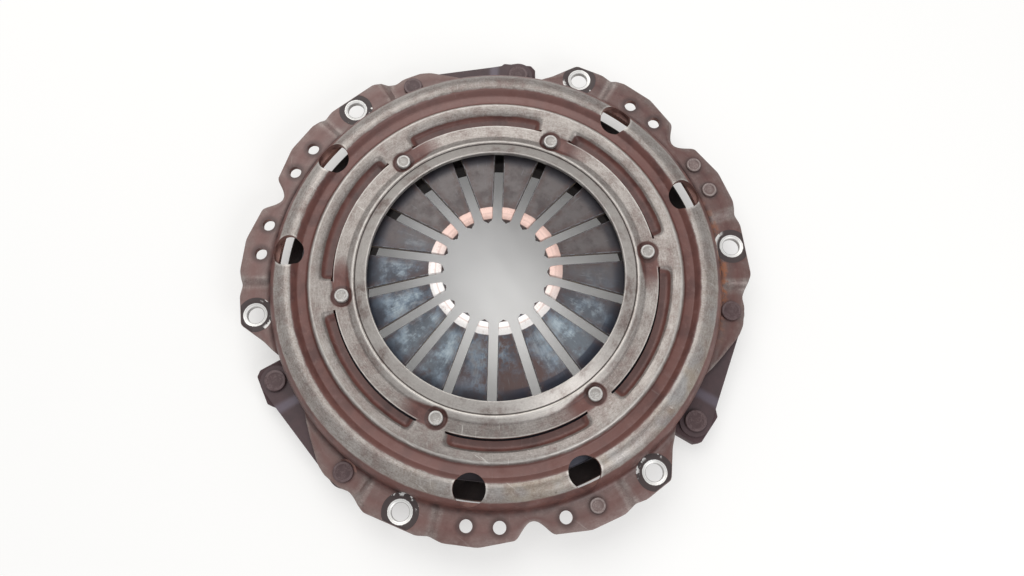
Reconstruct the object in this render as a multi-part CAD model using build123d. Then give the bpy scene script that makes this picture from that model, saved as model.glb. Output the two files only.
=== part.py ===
from build123d import *
import math
import os

# Diaphragm-spring clutch pressure plate, six-bolt pot-type cover, lining size about 205 mm.
# Millimetres. Z is the clutch axis and points from the flywheel to the release bearing.
# Z = 0 is the flange face that meets the flywheel. The plate is drawn unbolted, as it lies loose:
# the straps let the plate hang out of the cover and the spring fingers stand high.

# ---- patterns round the axis ----
SECTORS = 3                       # strap, lug and balance zone in each
BOLTS_PER_SECTOR = 2
FINGERS = 18
RIVETS = 6                        # spring rivets, one at each third slot of the spring
RIDGE_NOTCHES = 12

SECTOR = 360 / SECTORS
RIVET_PITCH = 360 / RIVETS
BOLT_PITCH = SECTOR / BOLTS_PER_SECTOR
BOLT_ANGLE = 9.0                  # first bolt, from +X
ZONE_ANGLE = BOLT_ANGLE + BOLT_PITCH / 2
STRAP_ANGLE = 16.0                # from a bolt to the strap rivet beside it

# ---- pressure plate casting ----
PLATE_R = 103.5
PLATE_BORE_R = 65.0
FACE_Z = -17.0                    # friction face
PLATE_BACK_Z = -4.6               # back of the casting inside the ridge
RIM_BACK_Z = -3.6                 # back of the casting outside the ridge
RIDGE_WIDTH = 4.5
RIDGE_INSET = 1.0                 # ridge edge inside the spring's edge
RIDGE_FLANK = 1.5
RIDGE_NOTCH = 7.0
PLATE_BEVEL = 1.2
LUG_THICK = 8.0
LUG_REACH = 8.0                   # rivet centre to the lug's outer edge
LUG_LEAD = 8.7                    # rivet centre to the lug's free side
LUG_NOSE = 2.4                    # corner taken off the outer end of the free side
LUG_FLAT = 14.6                   # straight outer edge
LUG_TRAIL = 13.2                  # rivet centre to the lug's strap side
LUG_FLARE = 1.6                   # spread of each side down to the rim
LUG_ROOT = 19.0                   # rivet centre to the end of the strap-side root
ROOT_SINK = 4.0                   # depth of the lug's root inside the rim

# ---- cover pressing ----
SHEET = 3.0
PLATE_GAP = 2.5                   # plate rim to cover wall
WALL_R = PLATE_R + PLATE_GAP + SHEET
SHOULDER_RUN = 10.5
SHOULDER_FOOT = 4.0
SHOULDER_STEPS = 6
CROWN_Z = 16.0
CROWN_FLAT = 2.1                  # crown between the shoulder and the valley's flank
CROWN_TILT = 0.6
VALLEY_FLOOR = 4.2
VALLEY_Z = 12.4
VALLEY_FLANK = 2.0
RIB_Z = 15.1
RIB_TILT = 0.6
BACK_Z = 13.5                     # land that carries the spring rivets
LAND_Z = 14.8
COLLAR_Z = 17.5                   # upturned inner edge
COLLAR_RUN = 5.8
CREST_RISE = 0.35
CREST_WIDTH = 1.8
CREST_FOOT = 2.5
SLIT = 1.0
TROUGH_FLOOR = 3.6
TROUGH_FLANK = 2.0
TROUGH_START = 4.6                # degrees past a rivet
TROUGH_END = 5.6                  # degrees before the next rivet
TROUGH_RAMP = 4.5
WINDOW_R = 7.45
WINDOW_OUT = 8.9                  # wall to window centre
WINDOW_ANGLE = 15.0
WINDOW_SILL = 7.4

# ---- flange ----
BOLT_OUT = 8.0                    # wall to bolt circle
BOLT_HOLE_R = 4.1
BOLT_SEAT_R = 5.4
BOLT_SEAT_DEPTH = 0.7
SPOTFACE_R = 8.6
BALANCE_RISE = 1.7                # balance pads above the bolt pads
BALANCE_OUT = 6.8
BALANCE_HOLE_R = 3.0
BALANCE_ANGLES = (-15.0, -7.5, 7.5, 15.0)
STRAP_DROP = 3.0                  # strap pads below the bolt pads
STRAP_OUT = 5.8
BEND = 3.2                        # run of each bend between pad levels
ROOT_FILLET = 2.8
FILLET_STEPS = 3
BOLT_EDGE = 7.4                   # bolt circle to the pad's edge
BALANCE_EDGE = 8.9
STRAP_EDGE = 6.7
WAIST = 1.3                       # drop of the edge between two pads
NOTCH_OUT = 5.3                   # wall to the bottom of the notch
NOTCH_STEP = 2.0                  # rounding of the notch's bottom
TAPER_OUT = 5.6                   # wall to the edge half way along a taper
TAPER_FOOT = 2.8                  # wall to the edge near the end of a taper
LOBE_DROP = 3.0                   # fall of the balance pad's edge towards the notch
STRAP_PAD_START = -36.0           # pads run between these angles from a sector's first bolt
STRAP_PAD_END = -11.0
BOLT_PAD_START = -8.5
BOLT_PAD_END = 7.0
BALANCE_PAD_START = 8.8
LAST_PAD = 14.0                   # last bolt to the end of its pad
SKIRT_INSET = 2.0                 # start of the strap pad to the start of the wall over it

# ---- diaphragm spring ----
SPRING_T = 2.3
SPRING_INSET = 7.5                # plate rim to spring edge
LEVER_OUT = 17.8                  # spring edge to fulcrum
CONE = 14.6                       # degrees, standing height of the loose spring
FULCRUM_Z = 8.1
TIP_R = 24.2
TIP_BEND = 7.6                    # length of the curled finger tip
TIP_CURL = 0.75                   # crown of the curled tip
TIP_STEPS = 5
SLOT = 4.4
SLOT_WINDOW = 8.6
WINDOW_RUN = 7.6
TIP_CORNER = 1.1

# ---- spring rivets and fulcrum ring ----
WIRE_R = 1.75
RIVET_SHANK_R = 2.75
RIVET_FLANGE_R = 6.2
RIVET_FLANGE_T = 2.6
RIVET_HEAD_R = 3.35
RIVET_HEAD_T = 2.3
RECESS_R = 5.0
RECESS_DEPTH = 0.65
RECESS_TAIL = 11.0                # length of the hollow on one side of the rivet
RECESS_HALF = 4.0                 # half width of that hollow
BORE_LAND = 17.3                  # fulcrum to the cover's inner edge

# ---- straps and their rivets ----
LEAVES = 3
LEAF_T = 0.6
STRAP_W = 15.0
STRAP_FALL = 1.4
STRAP_CLAMP = 9.0                 # flat end past each rivet
LUG_RIVET_OUT = 7.0
STRAP_RIVET_R = 3.0
STRAP_HEAD_R = 4.85
STRAP_HEAD_T = 1.7
STRAP_SPOT_R = 6.0                # clearance struck into the wall beside the head
STRAP_TAIL_R = 4.2
STRAP_TAIL_T = 1.5

# ---- rivet heads, as shares of a head's radius and height ----
HEAD_CHAMFER = 0.22
HEAD_SIDE = 0.55
HEAD_CROWN = 0.1

# ---- balance rivets ----
BALANCE_HEAD_R = 3.6
BALANCE_HEAD_T = 1.2
BALANCE_TAIL_T = 1.0
BALANCE_PLACES = ((0, 0), (0, 1), (2, 3))     # sector and hole of each fitted rivet

FIT = 0.02                        # radial clearance of riveted shanks
SEAT = 0.05                       # running seat of the spring
JOIN = 0.5                        # overlap of two stretches of one sheet
RUNOUT = 0.05                     # cuts run this far past a surface
SPRING_R = PLATE_R - SPRING_INSET
FULCRUM_R = SPRING_R - LEVER_OUT
COVER_BORE_R = FULCRUM_R - BORE_LAND
BEAD_OUT = FULCRUM_R + TROUGH_FLOOR
RIB_IN = BEAD_OUT + TROUGH_FLANK
BOLT_R = WALL_R + BOLT_OUT
BALANCE_R = WALL_R + BALANCE_OUT
STRAP_R = WALL_R + STRAP_OUT
LUG_RIVET_R = WALL_R + LUG_RIVET_OUT
WIRE_RING_R = FULCRUM_R - WIRE_R * math.sin(math.radians(CONE))
RIVET_R = WIRE_RING_R - WIRE_R - SEAT - RIVET_SHANK_R
SLOPE = math.tan(math.radians(CONE))
SPRING_RISE = SPRING_T / math.cos(math.radians(CONE))
RECESS_Z = BACK_Z - RECESS_DEPTH
BALANCE_Z = SHEET + BALANCE_RISE
STRAP_Z = SHEET - STRAP_DROP
PACK_T = LEAVES * LEAF_T
LUG_TOP_Z = -STRAP_DROP - STRAP_FALL - PACK_T


def polar(radius, angle, z=0.0):
    """Point at a radius and an angle in degrees."""
    a = math.radians(angle)
    return (radius * math.cos(a), radius * math.sin(a), z)


def spun(points, start=0.0, arc=360.0):
    """Revolve a closed (radius, z) outline round the axis, from one angle through an arc."""
    face = Face(Wire.make_polygon([Vector(r, 0, z) for r, z in points], close=True))
    return Rot(0, 0, start) * revolve(face, axis=Axis.Z, revolution_arc=arc)


def prism(points, low, high):
    """Upright prism on a closed plan outline."""
    face = Face(Wire.make_polygon([Vector(x, y, low) for x, y, *_ in points], close=True))
    return extrude(face, amount=high - low, dir=(0, 0, 1))


def bar(points, angle, inner, outer):
    """Radial bar: a closed (sideways, z) section at an angle, run from one radius to another."""
    face = Face(Wire.make_polygon([Vector(inner, s, z) for s, z in points], close=True))
    return Rot(0, 0, angle) * extrude(face, amount=outer - inner, dir=(1, 0, 0))


def post(radius, low, high, place=(0, 0, 0)):
    """Upright cylinder between two heights."""
    return Pos(place[0], place[1], (low + high) / 2) * Cylinder(radius, high - low)


def sheet(path, thickness):
    """Closed outline of a sheet whose top follows an open (radius, z) path, mitred at each corner."""
    under = []
    for i, (r, z) in enumerate(path):
        before = path[max(i - 1, 0)]
        after = path[min(i + 1, len(path) - 1)]
        back = math.atan2(z - before[1], r - before[0]) if i else None
        ahead = math.atan2(after[1] - z, after[0] - r) if i < len(path) - 1 else back
        back = ahead if back is None else back
        middle = (back + ahead) / 2
        reach = thickness / math.cos((ahead - back) / 2)
        under.append((r + reach * math.sin(middle), z - reach * math.cos(middle)))
    return under


def spring_top(radius):
    """Height of the spring's upper cone."""
    return FULCRUM_Z + (FULCRUM_R - radius) * SLOPE


# ------------------------------------------------------------------ cover
def shoulder():
    """Rolled shoulder from the crown to the wall, a quarter ellipse."""
    crown = WALL_R - SHOULDER_RUN
    drop = CROWN_Z - SHOULDER_FOOT
    turns = [math.pi / 2 * k / SHOULDER_STEPS for k in range(SHOULDER_STEPS + 1)]
    return [(crown + SHOULDER_RUN * math.sin(t), SHOULDER_FOOT + drop * math.cos(t)) for t in turns]


def cover_dome():
    """Dished ring of sheet: upturned collar, rivet land, rib, valley, crown and wall."""
    crown_in = WALL_R - SHOULDER_RUN - CROWN_FLAT
    valley_out = crown_in - VALLEY_FLANK
    valley_in = valley_out - VALLEY_FLOOR
    rib_out = valley_in - VALLEY_FLANK
    collar_out = COVER_BORE_R + COLLAR_RUN
    crest_out = collar_out + CREST_WIDTH
    core = [
        (COVER_BORE_R, COLLAR_Z),
        (collar_out, LAND_Z),
        (crest_out + CREST_FOOT, BACK_Z),
        (FULCRUM_R - SLIT, BACK_Z),
        (RIB_IN, RIB_Z - RIB_TILT),
        (rib_out, RIB_Z),
        (valley_in, VALLEY_Z),
        (valley_out, VALLEY_Z),
        (crown_in, CROWN_Z - CROWN_TILT),
    ] + shoulder() + [(WALL_R, 0.0)]
    crest = [
        (collar_out + CREST_WIDTH / 2, LAND_Z + CREST_RISE),
        (crest_out, LAND_Z),
    ]
    under = sheet(core, SHEET)
    top = core[:2] + crest + core[2:]
    return spun(top + under[::-1])


def cover_troughs():
    """Fulcrum beads: arcs pressed down between the rivets, slit free along their inner edge."""
    floor = FULCRUM_Z + SEAT + SHEET
    rib_z = RIB_Z - RIB_TILT
    path = [(FULCRUM_R, floor), (BEAD_OUT, floor), (RIB_IN, rib_z - RUNOUT), (RIB_IN + JOIN, rib_z)]
    section = path + sheet(path, SHEET)[::-1]
    arc = RIVET_PITCH - TROUGH_START - TROUGH_END
    ramp = math.degrees((TROUGH_RAMP - JOIN) / FULCRUM_R)
    top = 2 * CROWN_Z
    cut = [(FULCRUM_R - SLIT, 0), (RIB_IN, 0), (RIB_IN, top), (FULCRUM_R - SLIT, top)]
    cuts = []
    beads = []
    for k in range(RIVETS):
        start = BOLT_ANGLE + k * RIVET_PITCH + TROUGH_START
        cuts.append(spun(cut, start, arc))
        beads.append(spun(section, start + ramp, arc - 2 * ramp))
        for side, angle in ((1, start), (-1, start + arc)):
            slope = [
                (-side * JOIN, BACK_Z),
                (side * TROUGH_RAMP, floor),
                (side * TROUGH_RAMP, floor - SHEET),
                (-side * JOIN, BACK_Z - SHEET),
            ]
            beads.append(bar(slope, angle, FULCRUM_R, RIB_IN + JOIN / 2))
    return cuts, beads


def rivet_recess(angle):
    """Coined hollow round a spring rivet, with a long ramp on its trailing side."""
    top = 2 * CROWN_Z
    round_part = post(RECESS_R, RECESS_Z, top, polar(RIVET_R, angle))
    ramp = [
        (0, RECESS_Z),
        (-RECESS_R, RECESS_Z),
        (-RECESS_TAIL - RECESS_R, BACK_Z + RUNOUT),
        (-RECESS_TAIL - RECESS_R, top),
        (0, top),
    ]
    tail = bar(ramp, angle, RIVET_R - RECESS_HALF, RIVET_R + RECESS_HALF)
    return round_part + tail


# ------------------------------------------------------------------ flange
def flange_outline():
    """Plan outline of one sector of the flange, as (angle from its first bolt, radius)."""
    bolt = BOLT_R + BOLT_EDGE
    balance = BALANCE_R + BALANCE_EDGE
    strap = STRAP_R + STRAP_EDGE
    notch = WALL_R + NOTCH_OUT
    waist = min(bolt, balance) - WAIST
    taper = WALL_R + TAPER_OUT
    foot = WALL_R + TAPER_FOOT
    inside = WALL_R - SHEET / 2
    strap_lobe = [
        (-34.5, inside), (-31, foot), (-27.5, taper), (-21.5, strap - WAIST), (-19, strap),
        (-14.5, strap), (-12.3, strap - WAIST), (-7.2, bolt),
    ]
    to_notch = [
        (4.8, bolt), (7.5, waist), (10.5, balance), (18, balance),
        (26, balance - LOBE_DROP), (28, notch + NOTCH_STEP), (29.3, notch),
    ]
    from_notch = [(BOLT_PITCH - angle, radius) for angle, radius in reversed(to_notch)]
    end = [(61.8, bolt), (67, taper), (69.5, foot), (72, inside)]
    return strap_lobe + to_notch + from_notch + end


def flange_levels():
    """Height of each pad as (first angle, last angle, top), in order round a sector."""
    return [
        (STRAP_PAD_START, STRAP_PAD_END, STRAP_Z),
        (BOLT_PAD_START, BOLT_PAD_END, SHEET),
        (BALANCE_PAD_START, BOLT_PITCH - BALANCE_PAD_START, BALANCE_Z),
        (BOLT_PITCH - BOLT_PAD_END, BOLT_PITCH + LAST_PAD, SHEET),
    ]


def root_fillet(top):
    """Fillet between a pad and the wall, from the pad inwards and up."""
    turns = [math.pi / 2 * k / FILLET_STEPS for k in range(FILLET_STEPS + 1)]
    centre = WALL_R + ROOT_FILLET
    level = top + ROOT_FILLET
    return [(centre - ROOT_FILLET * math.sin(t), level - ROOT_FILLET * math.cos(t)) for t in turns]


def flange_sector(turn):
    """One third of the flange: pads at their levels, bends between them, trimmed to the outline."""
    far = 1.4 * BOLT_R
    near = WALL_R - SHEET
    levels = flange_levels()
    pieces = []
    for start, stop, top in levels:
        pad = [(near, top - SHEET), (far, top - SHEET), (far, top)]
        pad += root_fillet(top) + [(near, top + ROOT_FILLET)]
        pieces.append(spun(pad, turn + start, stop - start))
    for (_, stop, top), (start, _, after) in zip(levels, levels[1:]):
        middle = (stop + start) / 2
        half = math.radians(start - stop) / 2 * far
        wedge = [
            (-half, top - SHEET),
            (-BEND / 2, top - SHEET),
            (BEND / 2, after - SHEET),
            (half, after - SHEET),
            (half, after),
            (BEND / 2, after),
            (-BEND / 2, top),
            (-half, top),
        ]
        pieces.append(bar(wedge, turn + middle, near, far))
    plan = [polar(radius, turn + angle) for angle, radius in flange_outline()]
    inner = [polar(near - 1, turn + angle) for angle, _ in flange_outline()][::-1]
    trim = prism(plan + inner, -2 * STRAP_DROP - SHEET, 3 * BALANCE_Z)
    sector = pieces[0]
    for piece in pieces[1:]:
        sector = sector + piece
    return sector & trim


def skirt(turn):
    """Wall carried down to the strap pad."""
    low = STRAP_Z - SHEET
    near = WALL_R - SHEET
    start = STRAP_PAD_START + SKIRT_INSET
    section = [(near, low), (WALL_R, low), (WALL_R, SHEET), (near, SHEET)]
    return spun(section, turn + start, STRAP_PAD_END + JOIN - start)


def cover():
    """Pressed steel cover with its flange, windows, rivet holes and bolt holes."""
    body = cover_dome()
    cuts, beads = cover_troughs()
    body = body - cuts
    for bead in beads:
        body = body + bead
    for k in range(RIVETS):
        body = body - rivet_recess(BOLT_ANGLE + k * RIVET_PITCH)
    for k in range(SECTORS):
        turn = BOLT_ANGLE + k * SECTOR
        body = body + flange_sector(turn) + skirt(turn)
    return body - cover_holes()


def cover_holes():
    """Everything punched out of the cover."""
    top = 2 * CROWN_Z
    low = -3 * STRAP_DROP
    holes = []
    for k in range(RIVETS):
        holes.append(post(RIVET_SHANK_R + FIT, low, top, polar(RIVET_R, BOLT_ANGLE + k * RIVET_PITCH)))
    for k in range(SECTORS):
        turn = BOLT_ANGLE + k * SECTOR
        zone = ZONE_ANGLE + k * SECTOR
        for b in range(BOLTS_PER_SECTOR):
            place = polar(BOLT_R, turn + b * BOLT_PITCH)
            holes.append(post(BOLT_HOLE_R, low, top, place))
            holes.append(post(SPOTFACE_R, SHEET, top / 2, place))
            seat = Cone(BOLT_HOLE_R, BOLT_SEAT_R, BOLT_SEAT_DEPTH)
            holes.append(Pos(place[0], place[1], SHEET - BOLT_SEAT_DEPTH / 2) * seat)
        for offset in BALANCE_ANGLES:
            holes.append(post(BALANCE_HOLE_R, low, top, polar(BALANCE_R, zone + offset)))
        for side in (-1, 1):
            place = polar(WALL_R - WINDOW_OUT, zone + side * WINDOW_ANGLE)
            holes.append(post(WINDOW_R, WINDOW_SILL, top, place))
        place = polar(STRAP_R, turn - STRAP_ANGLE)
        holes.append(post(STRAP_RIVET_R + FIT, low, STRAP_Z, place))
        holes.append(post(STRAP_SPOT_R, STRAP_Z, STRAP_Z + 2 * STRAP_HEAD_T, place))
    return holes


# ------------------------------------------------------------------ pressure plate
def pressure_plate():
    """Cast iron ring with a notched fulcrum ridge, three lugs and a flat friction face."""
    ridge_out = SPRING_R - RIDGE_INSET
    ridge_in = ridge_out - RIDGE_WIDTH
    ridge_z = spring_top(ridge_out) - SPRING_RISE - SEAT
    section = [
        (PLATE_BORE_R + PLATE_BEVEL, FACE_Z),
        (PLATE_R - PLATE_BEVEL, FACE_Z),
        (PLATE_R, FACE_Z + PLATE_BEVEL),
        (PLATE_R, RIM_BACK_Z - PLATE_BEVEL),
        (PLATE_R - PLATE_BEVEL, RIM_BACK_Z),
        (ridge_out + RIDGE_FLANK, RIM_BACK_Z),
        (ridge_out, ridge_z),
        (ridge_in, ridge_z),
        (ridge_in - RIDGE_FLANK, PLATE_BACK_Z),
        (PLATE_BORE_R + PLATE_BEVEL, PLATE_BACK_Z),
        (PLATE_BORE_R, PLATE_BACK_Z - PLATE_BEVEL),
        (PLATE_BORE_R, FACE_Z + PLATE_BEVEL),
    ]
    body = spun(section)
    half = RIDGE_NOTCH / 2
    notch = [(-half, RIM_BACK_Z), (half, RIM_BACK_Z), (half, CROWN_Z), (-half, CROWN_Z)]
    for k in range(RIDGE_NOTCHES):
        angle = BOLT_ANGLE + (k + 0.5) * 360 / RIDGE_NOTCHES
        body = body - bar(notch, angle, ridge_in - 2 * RIDGE_FLANK, ridge_out + 2 * RIDGE_FLANK)
    for k in range(SECTORS):
        body = body + lug(lug_angle(k))
    for k in range(SECTORS):
        place = polar(LUG_RIVET_R, lug_angle(k))
        body = body - post(STRAP_RIVET_R + FIT, FACE_Z, 0, place)
        body = body - post(STRAP_TAIL_R + FIT, FACE_Z, LUG_TOP_Z - LUG_THICK + STRAP_TAIL_T, place)
    return body


def lug_angle(sector):
    """Direction of a lug's rivet."""
    return BOLT_ANGLE + sector * SECTOR + BOLT_PITCH + STRAP_ANGLE


def lug(angle):
    """Ear on the casting's rim that carries the strap."""
    tip = LUG_RIVET_R + LUG_REACH
    root = PLATE_R - ROOT_SINK
    edge_end = LUG_NOSE + LUG_FLAT - LUG_LEAD
    plan = [
        (root, -LUG_LEAD - 2 * LUG_FLARE),
        (PLATE_R, -LUG_LEAD - LUG_FLARE),
        (tip - LUG_NOSE, -LUG_LEAD),
        (tip, LUG_NOSE - LUG_LEAD),
        (tip, edge_end),
        (tip + edge_end - LUG_TRAIL, LUG_TRAIL),
        (PLATE_R + ROOT_SINK, LUG_TRAIL + LUG_FLARE),
        (root, LUG_ROOT),
    ]
    low = LUG_TOP_Z - LUG_THICK
    return Rot(0, 0, angle) * prism(plan, low, LUG_TOP_Z)


# ------------------------------------------------------------------ diaphragm spring
def diaphragm_spring():
    """Slotted cone: an unbroken outer ring and fingers that curl at their tips."""
    tip_z = spring_top(TIP_R + TIP_BEND)
    top = [(SPRING_R, spring_top(SPRING_R))]
    for k in range(TIP_STEPS + 1):
        along = k / TIP_STEPS
        top.append((TIP_R + TIP_BEND * (1 - along), tip_z + 4 * TIP_CURL * along * (1 - along)))
    under = [(r, z - SPRING_RISE) for r, z in reversed(top)]
    body = spun(top + under)
    low = -CROWN_Z
    high = 3 * CROWN_Z
    slot_end = RIVET_R - WINDOW_RUN / 2
    cuts = []
    for k in range(FINGERS):
        angle = BOLT_ANGLE + k * 360 / FINGERS
        half = SLOT / 2
        slot = [(-half, low), (half, low), (half, high), (-half, high)]
        cuts.append(bar(slot, angle, TIP_R / 2, slot_end + 1))
        half = SLOT_WINDOW / 2
        ease = WINDOW_RUN / 4
        root = [
            (slot_end, -half + ease), (slot_end + ease, -half), (slot_end + WINDOW_RUN - ease, -half),
            (slot_end + WINDOW_RUN, -half + ease), (slot_end + WINDOW_RUN, half - ease),
            (slot_end + WINDOW_RUN - ease, half), (slot_end + ease, half), (slot_end, half - ease),
        ]
        cuts.append(Rot(0, 0, angle) * prism(root, low, high))
        corner = SLOT / 2 + TIP_CORNER
        ease_plan = [
            (TIP_R - 1, -corner), (TIP_R, -corner), (TIP_R + TIP_CORNER, -SLOT / 2),
            (TIP_R + TIP_CORNER, SLOT / 2), (TIP_R, corner), (TIP_R - 1, corner),
        ]
        cuts.append(Rot(0, 0, angle) * prism(ease_plan, low, high))
    return body - cuts


# ------------------------------------------------------------------ fulcrum ring and rivets
def wire_z():
    """Height of the wire's centre under the spring."""
    return spring_top(FULCRUM_R) - SPRING_RISE - WIRE_R * math.cos(math.radians(CONE)) - SEAT


def fulcrum_ring():
    """Wire ring that the spring rocks on from below."""
    return Pos(0, 0, wire_z()) * Torus(WIRE_RING_R, WIRE_R)


def button(head_r, head_t, shank_r, shank_top, shank_low, tail_r, tail_t):
    """Rivet outline revolved: head on top of the joint, shank through it and tail below."""
    edge = HEAD_CHAMFER * head_r
    return spun([
        (0, shank_low - tail_t),
        (tail_r, shank_low - tail_t),
        (tail_r, shank_low),
        (shank_r, shank_low),
        (shank_r, shank_top),
        (head_r, shank_top),
        (head_r, shank_top + HEAD_SIDE * head_t),
        (head_r - edge, shank_top + (1 - HEAD_CROWN) * head_t),
        (0, shank_top + head_t),
    ])


def spring_rivet(angle):
    """Rivet that ties the cover, the spring and the wire ring together."""
    flange_top = wire_z() - WIRE_R - FIT
    x, y, _ = polar(RIVET_R, angle)
    return Pos(x, y, 0) * button(
        RIVET_HEAD_R, RIVET_HEAD_T, RIVET_SHANK_R, RECESS_Z, flange_top, RIVET_FLANGE_R, RIVET_FLANGE_T)


def strap_rivet(place, top, low, tail_r, tail_t):
    """Rivet through a strap pack and what it is fixed to."""
    return Pos(place[0], place[1], 0) * button(
        STRAP_HEAD_R, STRAP_HEAD_T, STRAP_RIVET_R, top, low, tail_r, tail_t)


def balance_rivet(sector, hole):
    """Weight riveted into one of the flange's balance holes."""
    angle = ZONE_ANGLE + sector * SECTOR + BALANCE_ANGLES[hole]
    x, y, _ = polar(BALANCE_R, angle)
    low = BALANCE_Z - SHEET
    return Pos(x, y, 0) * button(
        BALANCE_HEAD_R, BALANCE_HEAD_T, BALANCE_HOLE_R - FIT, BALANCE_Z, low, BALANCE_HEAD_R, BALANCE_TAIL_T)


# ------------------------------------------------------------------ straps
def strap_leaf(sector, layer):
    """One leaf of the pack that runs from the cover to the next lug and lets the plate move."""
    cover_end = Vector(*polar(STRAP_R, BOLT_ANGLE + (sector + 1) * SECTOR - STRAP_ANGLE))
    lug_end = Vector(*polar(LUG_RIVET_R, lug_angle(sector)))
    run = lug_end - cover_end
    length = run.length
    half = STRAP_W / 2
    high = -STRAP_DROP - layer * LEAF_T
    low = high - STRAP_FALL
    top = [(-half, high), (STRAP_CLAMP, high), (length - STRAP_CLAMP - half / 2, low), (length + half, low)]
    under = [(s, z - LEAF_T) for s, z in reversed(top)]
    face = Face(Wire.make_polygon([Vector(s, -half, z) for s, z in top + under], close=True))
    leaf = extrude(face, amount=STRAP_W, dir=(0, 1, 0))
    plan = Pos(length / 2, 0) * SlotCenterToCenter(length, STRAP_W)
    leaf = leaf & extrude(Pos(0, 0, 2 * low - SHEET) * plan, amount=4 * abs(low) + SHEET)
    for s in (0, length):
        leaf = leaf - post(STRAP_RIVET_R + FIT, 3 * low, SHEET, (s, 0, 0))
    turn = math.degrees(math.atan2(run.Y, run.X))
    return Pos(cover_end.X, cover_end.Y, 0) * Rot(0, 0, turn) * leaf


# ------------------------------------------------------------------ nodes
def build_nodes():
    """Every piece by the name it is written under."""
    nodes = {
        "cover": cover(),
        "pressure_plate": pressure_plate(),
        "diaphragm_spring": diaphragm_spring(),
        "fulcrum_ring": fulcrum_ring(),
    }
    for k in range(RIVETS):
        nodes[f"spring_rivet_{k + 1}"] = spring_rivet(BOLT_ANGLE + k * RIVET_PITCH)
    names = ("top", "middle", "bottom")
    for k in range(SECTORS):
        for layer in range(LEAVES):
            label = names[layer] if LEAVES == len(names) else str(layer + 1)
            nodes[f"strap_{k + 1}_leaf_{label}"] = strap_leaf(k, layer)
        place = polar(STRAP_R, BOLT_ANGLE + (k + 1) * SECTOR - STRAP_ANGLE)
        nodes[f"strap_{k + 1}_cover_rivet"] = strap_rivet(
            place, STRAP_Z, STRAP_Z - SHEET - PACK_T, STRAP_TAIL_R, STRAP_TAIL_T)
        nodes[f"strap_{k + 1}_lug_rivet"] = strap_rivet(
            polar(LUG_RIVET_R, lug_angle(k)), LUG_TOP_Z + PACK_T, LUG_TOP_Z - LUG_THICK + STRAP_TAIL_T,
            STRAP_TAIL_R, STRAP_TAIL_T)
    for n, (sector, hole) in enumerate(BALANCE_PLACES):
        nodes[f"balance_rivet_{n + 1}"] = balance_rivet(sector, hole)
    return nodes


os.makedirs("parts", exist_ok=True)
for name, shape in build_nodes().items():
    export_step(shape, f"parts/{name}.step")
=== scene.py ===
"""Dressed model of a diaphragm-spring clutch pressure plate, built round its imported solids.

Lengths are millimetres and angles are degrees until a mesh is made; Blender's objects are in metres.
Z is the clutch axis, from the flywheel to the release bearing, and z = 0 is the flange's face on the
flywheel. An arc is given by its middle, half its width and its soft edge. FIT is the gap that keeps two
faces from meeting; WELD and DOUBLES are the distances under which points are merged.
"""

from __future__ import annotations

import functools
import logging
import math
from dataclasses import dataclass, field
from enum import Enum
from typing import Any, Iterable, Sequence

import bmesh
import bpy
import numpy as np
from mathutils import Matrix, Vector

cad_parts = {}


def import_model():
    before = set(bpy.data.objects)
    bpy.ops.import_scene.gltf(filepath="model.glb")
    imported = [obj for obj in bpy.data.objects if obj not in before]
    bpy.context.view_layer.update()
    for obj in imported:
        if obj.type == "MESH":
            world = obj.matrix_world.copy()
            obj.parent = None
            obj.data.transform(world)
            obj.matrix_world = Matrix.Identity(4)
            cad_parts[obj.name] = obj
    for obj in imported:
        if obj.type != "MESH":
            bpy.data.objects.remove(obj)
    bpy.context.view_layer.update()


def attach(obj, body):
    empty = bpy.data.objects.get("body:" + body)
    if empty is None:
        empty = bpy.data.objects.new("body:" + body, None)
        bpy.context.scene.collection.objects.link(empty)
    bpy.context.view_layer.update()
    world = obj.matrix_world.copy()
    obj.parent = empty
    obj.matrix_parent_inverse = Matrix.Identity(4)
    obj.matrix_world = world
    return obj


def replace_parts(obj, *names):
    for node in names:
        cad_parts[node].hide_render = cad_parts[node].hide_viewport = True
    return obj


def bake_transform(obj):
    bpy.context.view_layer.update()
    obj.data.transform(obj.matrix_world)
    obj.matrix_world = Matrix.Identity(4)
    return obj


LOG = logging.getLogger("pressure_plate")
MM = 0.001
TURN = 360.0
FIT = 0.02
WELD = 0.003
DOUBLES = 0.002
Pair = tuple[float, float]
Point = tuple[float, float, float]
Colour = tuple[float, float, float]
Arc = tuple[float, float, float]


class Body(Enum):
    """The two bodies that the part's pieces ride on."""

    COVER = "cover_assembly"
    PLATE = "plate_assembly"


class Slot(Enum):
    """Material slots."""

    COVER = "cover_primer"
    PLATE = "plate_iron"
    SPRING = "spring_steel"
    WIRE = "wire_steel"
    STRAP = "strap_steel"
    STRAP_RIVET = "strap_rivet_steel"
    BALANCE_RIVET = "balance_rivet_steel"
    SPRING_RIVET = "spring_rivet_steel"


def srgb(red: int, green: int, blue: int) -> Colour:
    """Linear colour of an 8-bit screen colour."""

    def linear(value: int) -> float:
        """Linear share of one channel."""
        share = value / 255
        return share / 12.92 if share <= 0.04045 else ((share + 0.055) / 1.055) ** 2.4

    return (linear(red), linear(green), linear(blue))


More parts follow.
